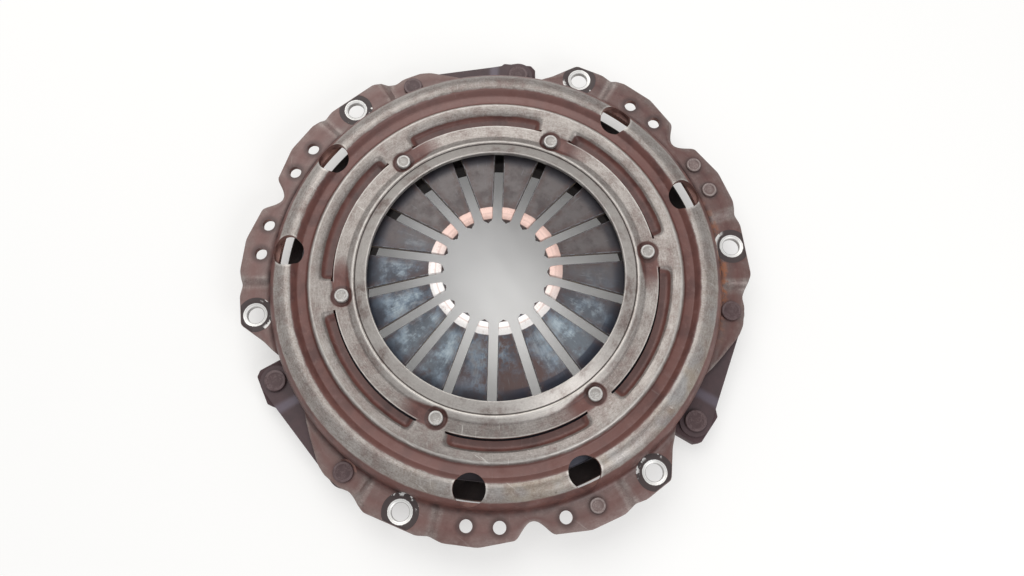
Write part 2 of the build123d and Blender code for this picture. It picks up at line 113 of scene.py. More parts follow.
# --- sizes
@dataclass(frozen=True)
class Sizes:
    """Driving sizes of the clutch, the same as the solids have."""

    first_bolt: float = 9.0
    sectors: int = 3
    rivets: int = 6
    fingers: int = 18
    sheet: float = 3.0
    wall_r: float = 109.0
    plate_r: float = 103.5
    rim_swell: float = 1.0
    plate_bore_r: float = 65.0
    face_z: float = -17.0
    plate_back_z: float = -4.6
    rim_back_z: float = -3.6
    bolt_r: float = 117.0
    bolt_hole_r: float = 4.1
    bolt_seat_r: float = 5.4
    bolt_seat_depth: float = 0.7
    spotface_r: float = 8.6
    balance_r: float = 115.8
    balance_hole_r: float = 3.0
    balance_angles: tuple[float, ...] = (-15.0, -7.5, 7.5, 15.0)
    window_r: float = 7.45
    window_place_r: float = 100.1
    window_angle: float = 15.0
    window_sill: float = 7.4
    strap_r: float = 114.8
    strap_angle: float = 16.0
    strap_z: float = 0.0
    balance_z: float = 4.7
    lug_rivet_r: float = 116.0
    lug_top_z: float = -6.2
    lug_thick: float = 8.0
    leaf: float = 0.6
    leaves: int = 3
    strap_width: float = 15.0
    strap_fall: float = 1.4
    strap_drop: float = 3.0
    strap_clamp: float = 9.0
    spring_r: float = 96.0
    fulcrum_r: float = 78.2
    fulcrum_z: float = 8.1
    cone: float = 14.6
    spring_t: float = 2.3
    tip_r: float = 24.2
    tip_bend: float = 7.6
    tip_curl: float = 0.72
    slot: float = 4.4
    slot_window: float = 8.6
    window_run: float = 7.6
    wire_r: float = 1.75
    seat: float = 0.05
    shank_r: float = 2.75
    strap_shank_r: float = 3.0
    strap_tail_r: float = 4.2
    strap_tail_t: float = 1.5
    back_z: float = 13.5
    recess_depth: float = 0.65

    @property
    def sector(self) -> float:
        """Angle of one strap sector."""
        return TURN / self.sectors

    @property
    def bolt_pitch(self) -> float:
        """Angle between bolts, which is also the angle between spring rivets."""
        return self.sector / 2

    @property
    def slope(self) -> float:
        """Rise of the spring's cone towards the axis."""
        return math.tan(math.radians(self.cone))

    @property
    def spring_rise(self) -> float:
        """Upright thickness of the cone."""
        return self.spring_t / math.cos(math.radians(self.cone))

    @property
    def wire_ring_r(self) -> float:
        """Radius of the fulcrum wire's centre line."""
        return self.fulcrum_r - self.wire_r * math.sin(math.radians(self.cone))

    @property
    def wire_z(self) -> float:
        """Height of the fulcrum wire's centre line."""
        lift = self.wire_r * math.cos(math.radians(self.cone))
        return self.spring_top(self.fulcrum_r) - self.spring_rise - lift - self.seat

    @property
    def rivet_r(self) -> float:
        """Radius of the spring rivets' circle."""
        return self.wire_ring_r - self.wire_r - self.seat - self.shank_r

    @property
    def recess_z(self) -> float:
        """Seat of the spring rivets' heads."""
        return self.back_z - self.recess_depth

    def spring_top(self, radius: float) -> float:
        """Height of the cone's upper face at a radius."""
        return self.fulcrum_z + (self.fulcrum_r - radius) * self.slope

    def bolt_angles(self) -> list[float]:
        """Directions of the six bolts and of the six spring rivets."""
        return [self.first_bolt + k * self.bolt_pitch for k in range(2 * self.sectors)]

    def zone_angles(self) -> list[float]:
        """Middles of the three balance zones."""
        return [self.first_bolt + self.bolt_pitch / 2 + k * self.sector for k in range(self.sectors)]

    def lug_angle(self, strap: int) -> float:
        """Direction of a strap's rivet on the casting."""
        return self.first_bolt + strap * self.sector + self.bolt_pitch + self.strap_angle

    def strap_ends(self, strap: int) -> tuple[np.ndarray, np.ndarray]:
        """Plan places of a strap's rivets, the cover's first."""
        cover = polar(self.strap_r, self.first_bolt + (strap + 1) * self.sector - self.strap_angle)
        lug = polar(self.lug_rivet_r, self.lug_angle(strap))
        return np.array(cover[:2]), np.array(lug[:2])


def folded(angle: Any, pitch: float) -> Any:
    """Angle in degrees brought to between minus and plus half a pitch."""
    return np.mod(angle + pitch / 2, pitch) - pitch / 2


def polar(radius: float, angle: float, z: float = 0.0) -> Point:
    """Point at a radius and an angle in degrees."""
    turn = math.radians(angle)
    return (radius * math.cos(turn), radius * math.sin(turn), z)


# --- meshes
def put(name: str, data: bpy.types.ID) -> bpy.types.Object:
    """New object of some data, in the scene."""
    obj = bpy.data.objects.new(name, data)
    bpy.context.scene.collection.objects.link(obj)
    return obj


def spun(plan: np.ndarray, angle: float) -> np.ndarray:
    """Plan points turned about the axis by an angle in degrees."""
    turn = math.radians(angle)
    return plan @ np.array([[math.cos(turn), math.sin(turn)], [-math.sin(turn), math.cos(turn)]])


def smooth_step(value: np.ndarray | float, low: float, high: float) -> np.ndarray:
    """Smooth rise from 0 at low to 1 at high; a falling one where high is under low."""
    share = np.clip((np.asarray(value, float) - low) / (high - low), 0.0, 1.0)
    return share * share * (3 - 2 * share)


def rounded_path(corners: Sequence[Pair], radii: Sequence[float], steps: int) -> np.ndarray:
    """Open path with its inner corners rounded.

    Args:
        corners: points of the path.
        radii: radius at each point; 0 keeps the corner. The two ends are kept.
        steps: pieces of each round.

    Returns:
        Points of the rounded path.
    """
    points = [np.array(c, float) for c in corners]
    path = [points[0]]
    for before, here, after, radius in zip(points, points[1:], points[2:], radii[1:]):
        back, ahead = before - here, after - here
        back_len, ahead_len = np.linalg.norm(back), np.linalg.norm(ahead)
        back, ahead = back / back_len, ahead / ahead_len
        cosine = float(np.clip(back @ ahead, -1, 1))
        half = math.acos(cosine) / 2
        if radius <= 0 or half > math.radians(89.5):
            path.append(here)
            continue
        reach = min(radius / math.tan(half), 0.49 * back_len, 0.49 * ahead_len)
        start, stop = here + back * reach, here + ahead * reach
        for k in range(steps + 1):
            t = k / steps
            path.append((1 - t) ** 2 * start + 2 * t * (1 - t) * here + t**2 * stop)
    path.append(points[-1])
    return np.array(path)


def rounded_loop(corners: Sequence[Pair], radius: float, steps: int) -> np.ndarray:
    """Closed outline with every corner rounded to one radius."""
    middle = ((corners[0][0] + corners[-1][0]) / 2, (corners[0][1] + corners[-1][1]) / 2)
    path = [middle, *corners, middle]
    return rounded_path(path, [radius] * len(path), steps)[:-1]


class MeshParts:
    """Vertices and faces gathered in millimetres, turned into one Blender mesh."""

    def __init__(self) -> None:
        """Starts with nothing."""
        self.verts: list[np.ndarray] = []
        self.faces: list[tuple[int, ...]] = []
        self.count = 0

    def add(self, verts: np.ndarray, faces: Iterable[Sequence[int]]) -> None:
        """Adds a shell.

        Args:
            verts: its points.
            faces: its faces, by the points' places in verts.
        """
        self.verts.append(np.asarray(verts, float))
        self.faces.extend(tuple(i + self.count for i in face) for face in faces)
        self.count += len(verts)

    def loft(
        self, rows: np.ndarray, wrap_rows: bool = True, wrap_columns: bool = True, caps: bool = False
    ) -> None:
        """Adds a grid of quads through rows of points.

        Args:
            rows: array of rows, columns and coordinates.
            wrap_rows: joins the last row to the first.
            wrap_columns: joins the last column to the first.
            caps: closes the first and the last row with a face each.
        """
        n, m = rows.shape[:2]
        faces: list[tuple[int, ...]] = []
        for i in range(n if wrap_rows else n - 1):
            j = (i + 1) % n
            for c in range(m if wrap_columns else m - 1):
                d = (c + 1) % m
                faces.append((i * m + c, i * m + d, j * m + d, j * m + c))
        if caps:
            faces.append(tuple(range(m))[::-1])
            faces.append(tuple((n - 1) * m + c for c in range(m)))
        self.add(rows.reshape(-1, 3), faces)

    def lathe(self, outline: np.ndarray, angles: Sequence[float], place: Point = (0, 0, 0)) -> None:
        """Adds a turned shell.

        Args:
            outline: (radius, z) points; a closed ring, or an open path whose two ends lie on the axis.
            angles: directions that make a whole turn.
            place: where the shell's axis stands.
        """
        solid = outline[0][0] == 0 and outline[-1][0] == 0
        path = outline[1:-1] if solid else outline
        turns = np.radians(np.asarray(angles, float))
        rows = np.empty((len(path), len(turns), 3))
        rows[..., 0] = path[:, :1] * np.cos(turns)
        rows[..., 1] = path[:, :1] * np.sin(turns)
        rows[..., 2] = path[:, 1:]
        self.loft(rows + np.array(place), wrap_rows=not solid, caps=solid)

    def post(self, radius: float, low: float, high: float, place: Sequence[float], sides: int) -> None:
        """Adds a cylinder between two heights."""
        ring = [polar(radius, k * TURN / sides) for k in range(sides)]
        rows = np.array([[(x + place[0], y + place[1], z) for x, y, _ in ring] for z in (low, high)])
        self.loft(rows, wrap_rows=False, caps=True)

    def prism(self, outline: np.ndarray, low: float, high: float) -> None:
        """Adds an upright prism on a closed plan outline, anticlockwise."""
        rows = np.array([[(x, y, z) for x, y in outline] for z in (low, high)])
        self.loft(rows, wrap_rows=False, caps=True)

    def eased_prism(self, outline: np.ndarray, low: float, high: float, ease: float) -> None:
        """Adds a prism whose top and bottom edges are rounded over."""
        centre = outline.mean(0)
        ahead = np.roll(outline, -1, 0) - np.roll(outline, 1, 0)
        inward = np.stack([-ahead[:, 1], ahead[:, 0]], -1)
        inward /= np.linalg.norm(inward, axis=1)[:, None]
        inward *= np.sign(((centre - outline) * inward).sum(1).mean())
        steps = [(1.0, low), (0.3, low + 0.3 * ease), (0.0, low + ease)]
        steps += [(0.0, high - ease), (0.3, high - 0.3 * ease), (1.0, high)]
        rows = [[(x, y, z) for x, y in outline + inward * inset * ease] for inset, z in steps]
        self.loft(np.array(rows), wrap_rows=False, caps=True)

    def build(self, name: str, material: bpy.types.Material | None = None) -> bpy.types.Object:
        """Blender object of what was gathered."""
        mesh = bpy.data.meshes.new(name)
        verts = np.concatenate(self.verts) * MM
        mesh.from_pydata(verts.tolist(), [], self.faces)
        mesh.validate()
        obj = put(name, mesh)
        if material is not None:
            mesh.materials.append(material)
        return obj


def settle(obj: bpy.types.Object) -> bpy.types.Object:
    """Turns an object's modifiers into its plain mesh."""
    bpy.context.view_layer.update()
    graph = bpy.context.evaluated_depsgraph_get()
    mesh = bpy.data.meshes.new_from_object(obj.evaluated_get(graph))
    old = obj.data
    obj.modifiers.clear()
    obj.data = mesh
    bpy.data.meshes.remove(old)
    mesh.name = obj.name
    return obj


def combine(obj: bpy.types.Object, tool: bpy.types.Object, operation: str) -> bpy.types.Object:
    """Cuts a tool from an object or joins it on, and removes the tool.

    Args:
        obj: the object that is changed.
        tool: the closed shape that it is combined with; its faces keep their material.
        operation: DIFFERENCE or UNION.

    Returns:
        The changed object.
    """
    modifier = obj.modifiers.new("combine", "BOOLEAN")
    modifier.operation = operation
    modifier.object = tool
    modifier.solver = "MANIFOLD"
    modifier.material_mode = "TRANSFER"
    settle(obj)
    bpy.data.objects.remove(tool)
    return obj


def shade(obj: bpy.types.Object, sharp: float = 35.0) -> bpy.types.Object:
    """Smooth shading with the corners over an angle kept sharp."""
    mesh = obj.data
    mesh.polygons.foreach_set("use_smooth", [True] * len(mesh.polygons))
    mesh.set_sharp_from_angle(angle=math.radians(sharp))
    mesh.update()
    return obj


def outward(obj: bpy.types.Object) -> bpy.types.Object:
    """Merges doubles and turns every face outwards."""
    work = bmesh.new()
    work.from_mesh(obj.data)
    bmesh.ops.remove_doubles(work, verts=work.verts, dist=DOUBLES * MM)
    bmesh.ops.recalc_face_normals(work, faces=work.faces)
    work.to_mesh(obj.data)
    work.free()
    return obj


# --- node trees
class Tree:
    """A node tree that is filled through one method."""

    def __init__(self, tree: bpy.types.NodeTree) -> None:
        """Starts from an empty tree."""
        self.tree = tree
        tree.nodes.clear()

    def node(self, kind: str, settings: dict[str, Any] | None = None, **inputs: Any) -> bpy.types.Node:
        """Adds a node.

        Args:
            kind: the node's type.
            settings: properties, set first.
            inputs: values or links by socket name with _ for a space, or by place as i0, i1 and so on.

        Returns:
            The node.
        """
        node = self.tree.nodes.new(kind)
        for key, value in (settings or {}).items():
            setattr(node, key, value)
        for key, value in inputs.items():
            place = int(key[1:]) if key[0] == "i" and key[1:].isdigit() else key.replace("_", " ")
            socket = node.inputs[place]
            if isinstance(value, Val):
                value = value.socket
            if isinstance(value, bpy.types.NodeSocket):
                self.tree.links.new(value, socket)
            elif socket.type == "RGBA" and len(value) == 3:
                socket.default_value = (*value, 1.0)
            else:
                socket.default_value = value
        return node

    def out(self, kind: str, settings: dict[str, Any] | None = None, **inputs: Any) -> bpy.types.NodeSocket:
        """First output of a new node."""
        return self.node(kind, settings, **inputs).outputs[0]


class Val:
    """A number socket; arithmetic on it adds Math nodes."""

    def __init__(self, tree: Tree, socket: bpy.types.NodeSocket) -> None:
        """Wraps a socket of a tree."""
        self.tree = tree
        self.socket = socket

    def math(self, operation: str, *others: Any, clamp: bool = False) -> Val:
        """One Math node of this value and others."""
        inputs = {f"i{k + 1}": other for k, other in enumerate(others)}
        settings = {"operation": operation, "use_clamp": clamp}
        return Val(self.tree, self.tree.out("ShaderNodeMath", settings, i0=self, **inputs))

    def __add__(self, other: Any) -> Val:
        """Sum."""
        return self.math("ADD", other)

    __radd__ = __add__

    def __mul__(self, other: Any) -> Val:
        """Product."""
        return self.math("MULTIPLY", other)

    __rmul__ = __mul__

    def __sub__(self, other: Any) -> Val:
        """Difference."""
        return self.math("SUBTRACT", other)

    def __rsub__(self, other: float) -> Val:
        """Difference from a number."""
        return (self * -1.0) + other

    def __truediv__(self, other: Any) -> Val:
        """Quotient."""
        return self.math("DIVIDE", other)

    def rise(self, low: float, high: float) -> Val:
        """Smooth rise from 0 at low to 1 at high; a falling one where high is under low."""
        ends = {"i1": low, "i2": high, "i3": 0.0, "i4": 1.0}
        if high <= low:
            ends = {"i1": high, "i2": low, "i3": 1.0, "i4": 0.0}
        settings = {"interpolation_type": "SMOOTHSTEP"}
        return Val(self.tree, self.tree.out("ShaderNodeMapRange", settings, i0=self, **ends))

    def band(self, low: float, high: float, soft: float) -> Val:
        """1 between two limits, falling to 0 over a soft edge on each side."""
        return self.rise(low - soft, low + soft) * self.rise(high + soft, high - soft)

    def clamp(self) -> Val:
        """Value held between 0 and 1."""
        return self.math("ADD", 0.0, clamp=True)

    def larger(self, other: Any) -> Val:
        """Larger of two values."""
        return self.math("MAXIMUM", other)

    def smaller(self, other: Any) -> Val:
        """Smaller of two values."""
        return self.math("MINIMUM", other)


class Paint(Tree):
    """A material's tree, with the object's coordinates in millimetres ready."""

    def __init__(self, name: str) -> None:
        """Makes the material and its coordinates."""
        self.material = bpy.data.materials.new(name)
        self.material.use_nodes = True
        super().__init__(self.material.node_tree)
        self.output = self.node("ShaderNodeOutputMaterial")
        place = self.node("ShaderNodeTexCoord").outputs["Object"]
        self.place = self.out("ShaderNodeVectorMath", {"operation": "SCALE"}, i0=place, Scale=1 / MM)
        split = self.node("ShaderNodeSeparateXYZ", i0=self.place)
        self.x, self.y, self.z = (Val(self, s) for s in split.outputs)
        self.radius = (self.x * self.x + self.y * self.y).math("SQRT")
        self.angle = self.y.math("ARCTAN2", self.x) * (180 / math.pi)

    def folded(self, first: float, pitch: float) -> Val:
        """Angle from the nearest of a ring of places, in degrees, between minus and plus half the pitch."""
        return (self.angle - (first - pitch / 2)).math("FLOORED_MODULO", pitch) - pitch / 2

    def beside(self, first: float, pitch: float, radius: float) -> tuple[Val, Val]:
        """Sideways and outward distance in millimetres from the nearest of a ring of places."""
        turn = self.folded(first, pitch) * (math.pi / 180)
        return turn.math("SINE") * self.radius, turn.math("COSINE") * self.radius - radius

    def away(self, first: float, pitch: float, radius: float) -> Val:
        """Distance in millimetres from the nearest of a ring of places, seen from above."""
        side, out = self.beside(first, pitch, radius)
        return (side * side + out * out).math("SQRT")

    def arc(self, middle: float, half: float, soft: float) -> Val:
        """1 within an arc round a direction, falling off over a soft edge."""
        turn = (self.angle - (middle - 180)).math("FLOORED_MODULO", TURN) - 180
        return turn.math("ABSOLUTE").rise(half + soft, half - soft)

    def noise(self, size: float, detail: float, rough: float, seed: float, vector: Any = None) -> Val:
        """Cloudy pattern between 0 and 1, with features of a size in millimetres."""
        settings = {"noise_dimensions": "4D"}
        inputs = {"W": seed, "Scale": 1 / size, "Detail": detail, "Roughness": rough}
        node = self.node("ShaderNodeTexNoise", settings, Vector=vector or self.place, **inputs)
        return Val(self, node.outputs["Fac"])

    def streaks(self, along: float, across: float, seed: float) -> Val:
        """Fine lines that run round the axis: features long along the arc and short across it."""
        inputs = {"i0": self.radius / across, "i1": self.angle / along, "i2": self.z / across}
        return self.noise(1.0, 2.0, 0.6, seed, self.out("ShaderNodeCombineXYZ", **inputs))

    def mix(self, share: Any, first: Any, second: Any, kind: str = "MIX") -> bpy.types.NodeSocket:
        """Colour between two colours."""
        share = share.clamp() if isinstance(share, Val) else share
        settings = {"data_type": "RGBA", "blend_type": kind}
        return self.node("ShaderNodeMix", settings, i0=share, i6=first, i7=second).outputs[2]

    def tint(self, colour: Any, share: Any, tone: Any) -> bpy.types.NodeSocket:
        """Colour multiplied by a tone, by a share."""
        return self.mix(share, colour, tone, "MULTIPLY")

    def coat(self, base: Any, *layers: tuple[Any, Any]) -> Any:
        """Colour under layers of (share, colour), the last on top."""
        for share, colour in layers:
            base = self.mix(share, base, colour)
        return base

    def bump(self, height: Val, strength: float, depth: float) -> bpy.types.NodeSocket:
        """Normal of a relief whose depth is in millimetres."""
        return self.out("ShaderNodeBump", Strength=strength, Distance=depth * MM, Height=height)

    def finish(self, base: Any, rough: Any, metal: Any, normal: bpy.types.NodeSocket) -> bpy.types.Material:
        """Closes the material with a Principled shader."""
        inputs = {"Base_Color": base, "Roughness": rough, "Metallic": metal, "Normal": normal}
        return self.close(self.out("ShaderNodeBsdfPrincipled", **inputs))

    def close(self, surface: bpy.types.NodeSocket) -> bpy.types.Material:
        """Links the surface to the output."""
        self.tree.links.new(surface, self.output.inputs[0])
        return self.material


# --- finishes
@dataclass(frozen=True)
class CoverFinish:
    """Brown primer on pressed steel, worn to bare metal on everything that stands proud."""

    sizes: Sizes
    primer: Colour = srgb(106, 68, 61)
    primer_dark: Colour = srgb(72, 44, 41)
    primer_pale: Colour = srgb(140, 108, 102)
    flange: Colour = srgb(98, 65, 60)
    steel: Colour = srgb(186, 179, 173)
    steel_dark: Colour = srgb(118, 109, 103)
    polished: Colour = srgb(208, 203, 196)
    # Bright: for painted highlights and for scratches.
    bright: Colour = srgb(222, 217, 210)
    # Greys by which painted shade darkens the bare steel.
    painted_shade: Colour = srgb(222, 222, 222)
    deep_painted_shade: Colour = srgb(212, 212, 212)
    brass: Colour = srgb(158, 138, 106)
    bluing_and_sky_reflection: Colour = srgb(146, 150, 152)
    rust: Colour = srgb(150, 92, 58)
    # Dark brown for dirt specks and for painted shade.
    soot_and_shade: Colour = srgb(36, 29, 29)
    inner_wall_light: Colour = srgb(200, 142, 126)
    collar: Pair = (60.5, 70.5)
    land: Pair = (71.0, 97.0)
    valley: Pair = (89.3, 97.0)
    crown: Pair = (97.0, 109.5)
    # Arc on the lower right where the wall gets a painted highlight and less painted shade.
    highlight_arc: Arc = (318.0, 38.0, 20.0)

    def worn(self, paint: Paint) -> Val:
        """Share of bare metal: what stands above valleys and hollows, and the wall's upper half."""
        wobble = paint.noise(4.5, 3.0, 0.6, 8.0) - 0.5
        proud = (paint.z + wobble * 0.7).rise(12.65, 13.5)
        # On the highlit arc the bare metal reaches further down the wall, as a painted highlight.
        shoulder = (paint.radius + wobble * 5.0 - paint.arc(*self.highlight_arc) * 2.5).rise(109.6, 105.6)
        collar = paint.radius.rise(69.4, 68.6)
        valley = (paint.radius + wobble * 1.4).band(*self.valley, 0.5)
        return proud.larger(collar) * shoulder * (1.0 - valley) * (1.0 - self.hollows(paint, wobble))

    def hollows(self, paint: Paint, wobble: Val) -> Val:
        """Share of the hollows beside the spring rivets, where the primer is left."""
        s = self.sizes
        side, out = paint.beside(s.first_bolt, s.bolt_pitch, s.rivet_r)
        across = (out + wobble * 1.5).math("ABSOLUTE")
        tail = side.rise(-23.0, -9.0) * side.rise(1.0, -1.0) * across.rise(5.0, 3.6)
        return tail.larger(paint.away(s.first_bolt, s.bolt_pitch, s.rivet_r).rise(6.0, 5.0))

    def lines(self, paint: Paint) -> Val:
        """Share of the bright lines along crests and edges: painted highlights, partly lines that rubbing
        leaves.
        """
        s = self.sizes
        r = paint.radius
        between = paint.folded(s.first_bolt, s.bolt_pitch).math("ABSOLUTE").rise(5.0, 6.5)
        # Painted highlights along the crests, on the slit's lip between the bridges and at the bore's edge.
        crest = r.band(67.4, 68.4, 0.35) * 0.6 + r.band(87.6, 88.7, 0.4) * 0.65
        lips = r.band(76.7, 77.2, 0.2) * between * 0.45 + r.band(60.8, 61.5, 0.25) * 0.4
        return crest + lips

    def scratches(self, paint: Paint) -> Val:
        """Thin straight scratches in two directions."""
        turned = paint.out("ShaderNodeVectorRotate", i0=paint.place, Axis=(0.0, 0.0, 1.0), Angle=0.6)
        found = None
        for seed, stretch, vector in (
            (9.0, (0.05, 0.95, 0.3), turned),
            (10.0, (1.1, 0.06, 0.3), paint.place),
        ):
            scaled = paint.out("ShaderNodeVectorMath", {"operation": "MULTIPLY"}, i0=vector, i1=stretch)
            line = paint.noise(1.0, 2.0, 0.5, seed, scaled).rise(0.66, 0.72)
            found = line if found is None else found.larger(line)
        return found * paint.noise(16.0, 2.0, 0.5, 12.0).rise(0.45, 0.6)

    def metal(self, paint: Paint, tone: Val, cloud: Val) -> bpy.types.NodeSocket:
        """Bare steel: brushed, heat-tinted on the crown, polished at the collar with a painted highlight
        over its lower half, and darkened in places by painted shade.
        """
        r, arc = paint.radius, paint.arc
        heat = arc(302.0, 50.0, 22.0) * r.band(*self.crown, 2.5)
        heat = heat * paint.noise(21.0, 2.0, 0.5, 4.0).rise(0.36, 0.62)
        heat_tone = paint.mix(paint.noise(15.0, 2.0, 0.5, 13.0).rise(0.42, 0.6), self.brass, self.bluing_and_sky_reflection)
        # Polish on the collar's inner edge, and a painted highlight over the collar's lower half.
        polish_and_highlight = r.band(60.5, 66.3, 0.4) * 0.5 + arc(270.0, 62.0, 45.0) * r.band(66.0, 70.5, 0.5) * 0.4
        steel = paint.coat(
            paint.mix(tone, self.steel_dark, self.steel),
            (heat * 0.34, heat_tone),
            (polish_and_highlight * cloud.rise(0.3, 0.5), self.polished),
        )
        # Painted shade: the crown darker on the upper right, the collar at the top, and the land on the
        # left and at the bottom.
        land = r.band(*self.land, 2.0)
        high = arc(62.0, 50.0, 35.0) * r.band(*self.crown, 2.0)
        high = high.larger(arc(90.0, 55.0, 30.0) * r.band(*self.collar, 1.0))
        steel = paint.tint(steel, arc(195.0, 60.0, 50.0) * land * 0.8, self.painted_shade)
        steel = paint.tint(steel, arc(264.0, 28.0, 24.0) * land, self.deep_painted_shade)
        return paint.tint(steel, high * 0.75, self.painted_shade)

    def paintwork(self, paint: Paint, cloud: Val, patch: Val) -> bpy.types.NodeSocket:
        """Primer, darker in clouds, with a painted highlight on one side of the flange, and paler along the
        valley.
        """
        r, arc = paint.radius, paint.arc
        # Painted highlight on the flange over the left and the bottom.
        flange_highlight = arc(200.0, 110.0, 30.0) * r.rise(110.0, 113.0) * 0.38
        groove = arc(90.0, 40.0, 30.0).larger(arc(268.0, 40.0, 25.0)) * r.band(*self.valley, 1.0)
        return paint.coat(
            self.primer,
            (r.rise(108.0, 111.5), self.flange),
            (cloud.rise(0.42, 0.68) * 0.75, self.primer_dark),
            (patch.rise(0.52, 0.75) * 0.4, self.primer_pale),
            (flange_highlight.larger(groove * 0.42) * cloud.rise(0.2, 0.5), self.primer_pale),
        )

    def grime_and_shade(self, paint: Paint, cloud: Val) -> Val:
        """Share of dirt and painted shade in creases, in the troughs, round the rivets and at the foot of
        the wall.
        """
        s = self.sizes
        r = paint.radius
        # Dirt and painted shade: round each rivet's dish, in the collar's crease and at the land's edge,
        # deeper in the troughs, and at the wall's foot, less on the highlit arc.
        ring = paint.away(s.first_bolt, s.bolt_pitch, s.rivet_r).band(3.2, 5.3, 0.3)
        crease = r.band(66.55, 66.95, 0.12) + r.band(70.6, 71.6, 0.5) * 0.25 + ring * 0.5
        trough = (paint.z.rise(12.3, 11.4) * r.band(78.3, 81.0, 0.9)) * 0.4
        wall = r.band(108.2, 110.6, 1.0) * cloud.rise(0.35, 0.6) * (0.6 - paint.arc(*self.highlight_arc) * 0.5)
        return (crease * 0.8).larger(trough).larger(wall)

    def build(self) -> bpy.types.Material:
        """Makes the material."""
        s = self.sizes
        paint = Paint("cover_primer_worn")
        # Bare metal on the flange's edges and bends, and a painted highlight along the wall's foot.
        rub = Val(paint, paint.node("ShaderNodeAttribute", {"attribute_name": "rub"}).outputs["Fac"])
        cloud = paint.noise(11.0, 4.0, 0.62, 1.0)
        patch = paint.noise(3.4, 4.0, 0.65, 7.0)
        fine = paint.noise(0.75, 4.0, 0.7, 2.0)
        brushed = paint.streaks(2.4, 0.4, 3.0)
        worn = self.worn(paint)
        film = (cloud - 0.5) * 1.2 + (patch - 0.5) * 1.1
        worn = (worn * (film + 0.98) + rub * (patch + cloud - 0.35) + (fine - 0.5) * 0.3 * worn).clamp()
        tone = (cloud - 0.5) * 1.2 + (fine - 0.5) * 1.6 + (brushed - 0.5) * 1.1 + 0.5
        scratch = self.scratches(paint)
        zone = s.zone_angles()[0]
        holes = [paint.away(zone + offset, s.sector, s.balance_r) for offset in s.balance_angles]
        # Painted shade round the balance holes.
        hole_shade = functools.reduce(Val.smaller, holes).rise(6.0, 3.2)
        windows = [paint.away(zone + side * s.window_angle, s.sector, s.window_place_r) for side in (-1, 1)]
        # Painted highlight round the windows' edges, on bare metal.
        window_highlight = windows[0].smaller(windows[1]).band(s.window_r - 0.3, s.window_r + 0.8, 0.5)
        window_highlight = window_highlight * cloud.rise(0.35, 0.6)
        # Painted light: the wall's inner face beside the windows made paler, where it lies in shade.
        inner_wall_light = paint.radius.rise(107.2, 106.8) * paint.z.rise(9.6, 8.6)
        stain = paint.arc(3.0, 14.0, 8.0) * paint.radius.band(107.2, 113.0, 1.0) * patch.rise(0.42, 0.6)
        base = paint.coat(
            self.paintwork(paint, cloud, patch),
            (worn * 0.95, self.metal(paint, tone, cloud)),
            # Painted highlights along crests and edges, and bright scratches.
            (self.lines(paint) * (brushed + patch - 0.2) + scratch * (worn * 0.3 + 0.05), self.bright),
            (patch.rise(0.62, 0.74) * fine.rise(0.4, 0.6) * 0.6, self.soot_and_shade),
            # Dirt and painted shade in creases, troughs, rivet dishes and at the wall's foot.
            (self.grime_and_shade(paint, cloud), self.soot_and_shade),
            (hole_shade * 0.55, self.soot_and_shade),
            (window_highlight * worn * 0.5, self.bright),
            (inner_wall_light * 0.85, self.inner_wall_light),
            (stain * 0.8, self.rust),
        )
        rough = 0.46 - worn * 0.06 + (fine - 0.5) * 0.3
        relief = fine * 0.35 + brushed * worn * 0.35 + patch * 0.8 + scratch * -0.3
        return paint.finish(base, rough, worn * 0.38 + 0.08, paint.bump(relief, 0.55, 0.16))


@dataclass(frozen=True)
class SeatFinish:
    """Bolt seats: a bare bright ring where each bolt sat, inside a dark spotface with a painted highlight
    on its wall.
    """

    sizes: Sizes
    bare: Colour = srgb(238, 236, 232)
    dark: Colour = srgb(62, 50, 49)

    def build(self) -> bpy.types.Material:
        """Makes the material."""
        s = self.sizes
        paint = Paint("bolt_seat_bare")
        away = paint.away(s.first_bolt, s.bolt_pitch, s.bolt_r)
        fine = paint.noise(0.7, 3.0, 0.6, 11.0)
        ring = (away + (fine - 0.5) * 0.5).rise(5.9, 5.6)
        # Painted highlight in broken streaks on the spotface's wall.
        slit = away.rise(8.2, 8.5) * paint.z.band(3.6, 6.2, 0.4) * fine.rise(0.35, 0.55)
        inward = paint.beside(s.first_bolt, s.bolt_pitch, s.bolt_r)[1].rise(-2.0, -4.5)
        chips = away.rise(6.6, 7.8) * paint.noise(5.0, 3.0, 0.7, 14.0).rise(0.54, 0.57) * inward
        rim = away.band(4.0, 4.35, 0.15) * 0.5 + away.band(5.1, 5.3, 0.1) * 0.35
        bright = (ring + slit + chips * 0.8 - rim).clamp()
        base = paint.coat(self.dark, (bright, self.bare), (fine.rise(0.62, 0.8) * 0.4, self.dark))
        return paint.finish(base, 0.52 - bright * 0.12, bright * 0.3 + 0.1, paint.bump(fine, 0.3, 0.1))


@dataclass(frozen=True)
class CutFinish:
    """Sheared edges of the sheet, where tools went through it."""

    base: Colour = srgb(150, 112, 102)
    dark: Colour = srgb(104, 72, 66)

    def build(self) -> bpy.types.Material:
        """Makes the material."""
        paint = Paint("sheared_edge")
        fine = paint.noise(0.8, 3.0, 0.6, 21.0)
        base = paint.mix(paint.noise(5.0, 2.0, 0.5, 22.0).rise(0.35, 0.65), self.dark, self.base)
        return paint.finish(base, fine * 0.2 + 0.5, 0.1, paint.bump(fine, 0.3, 0.1))


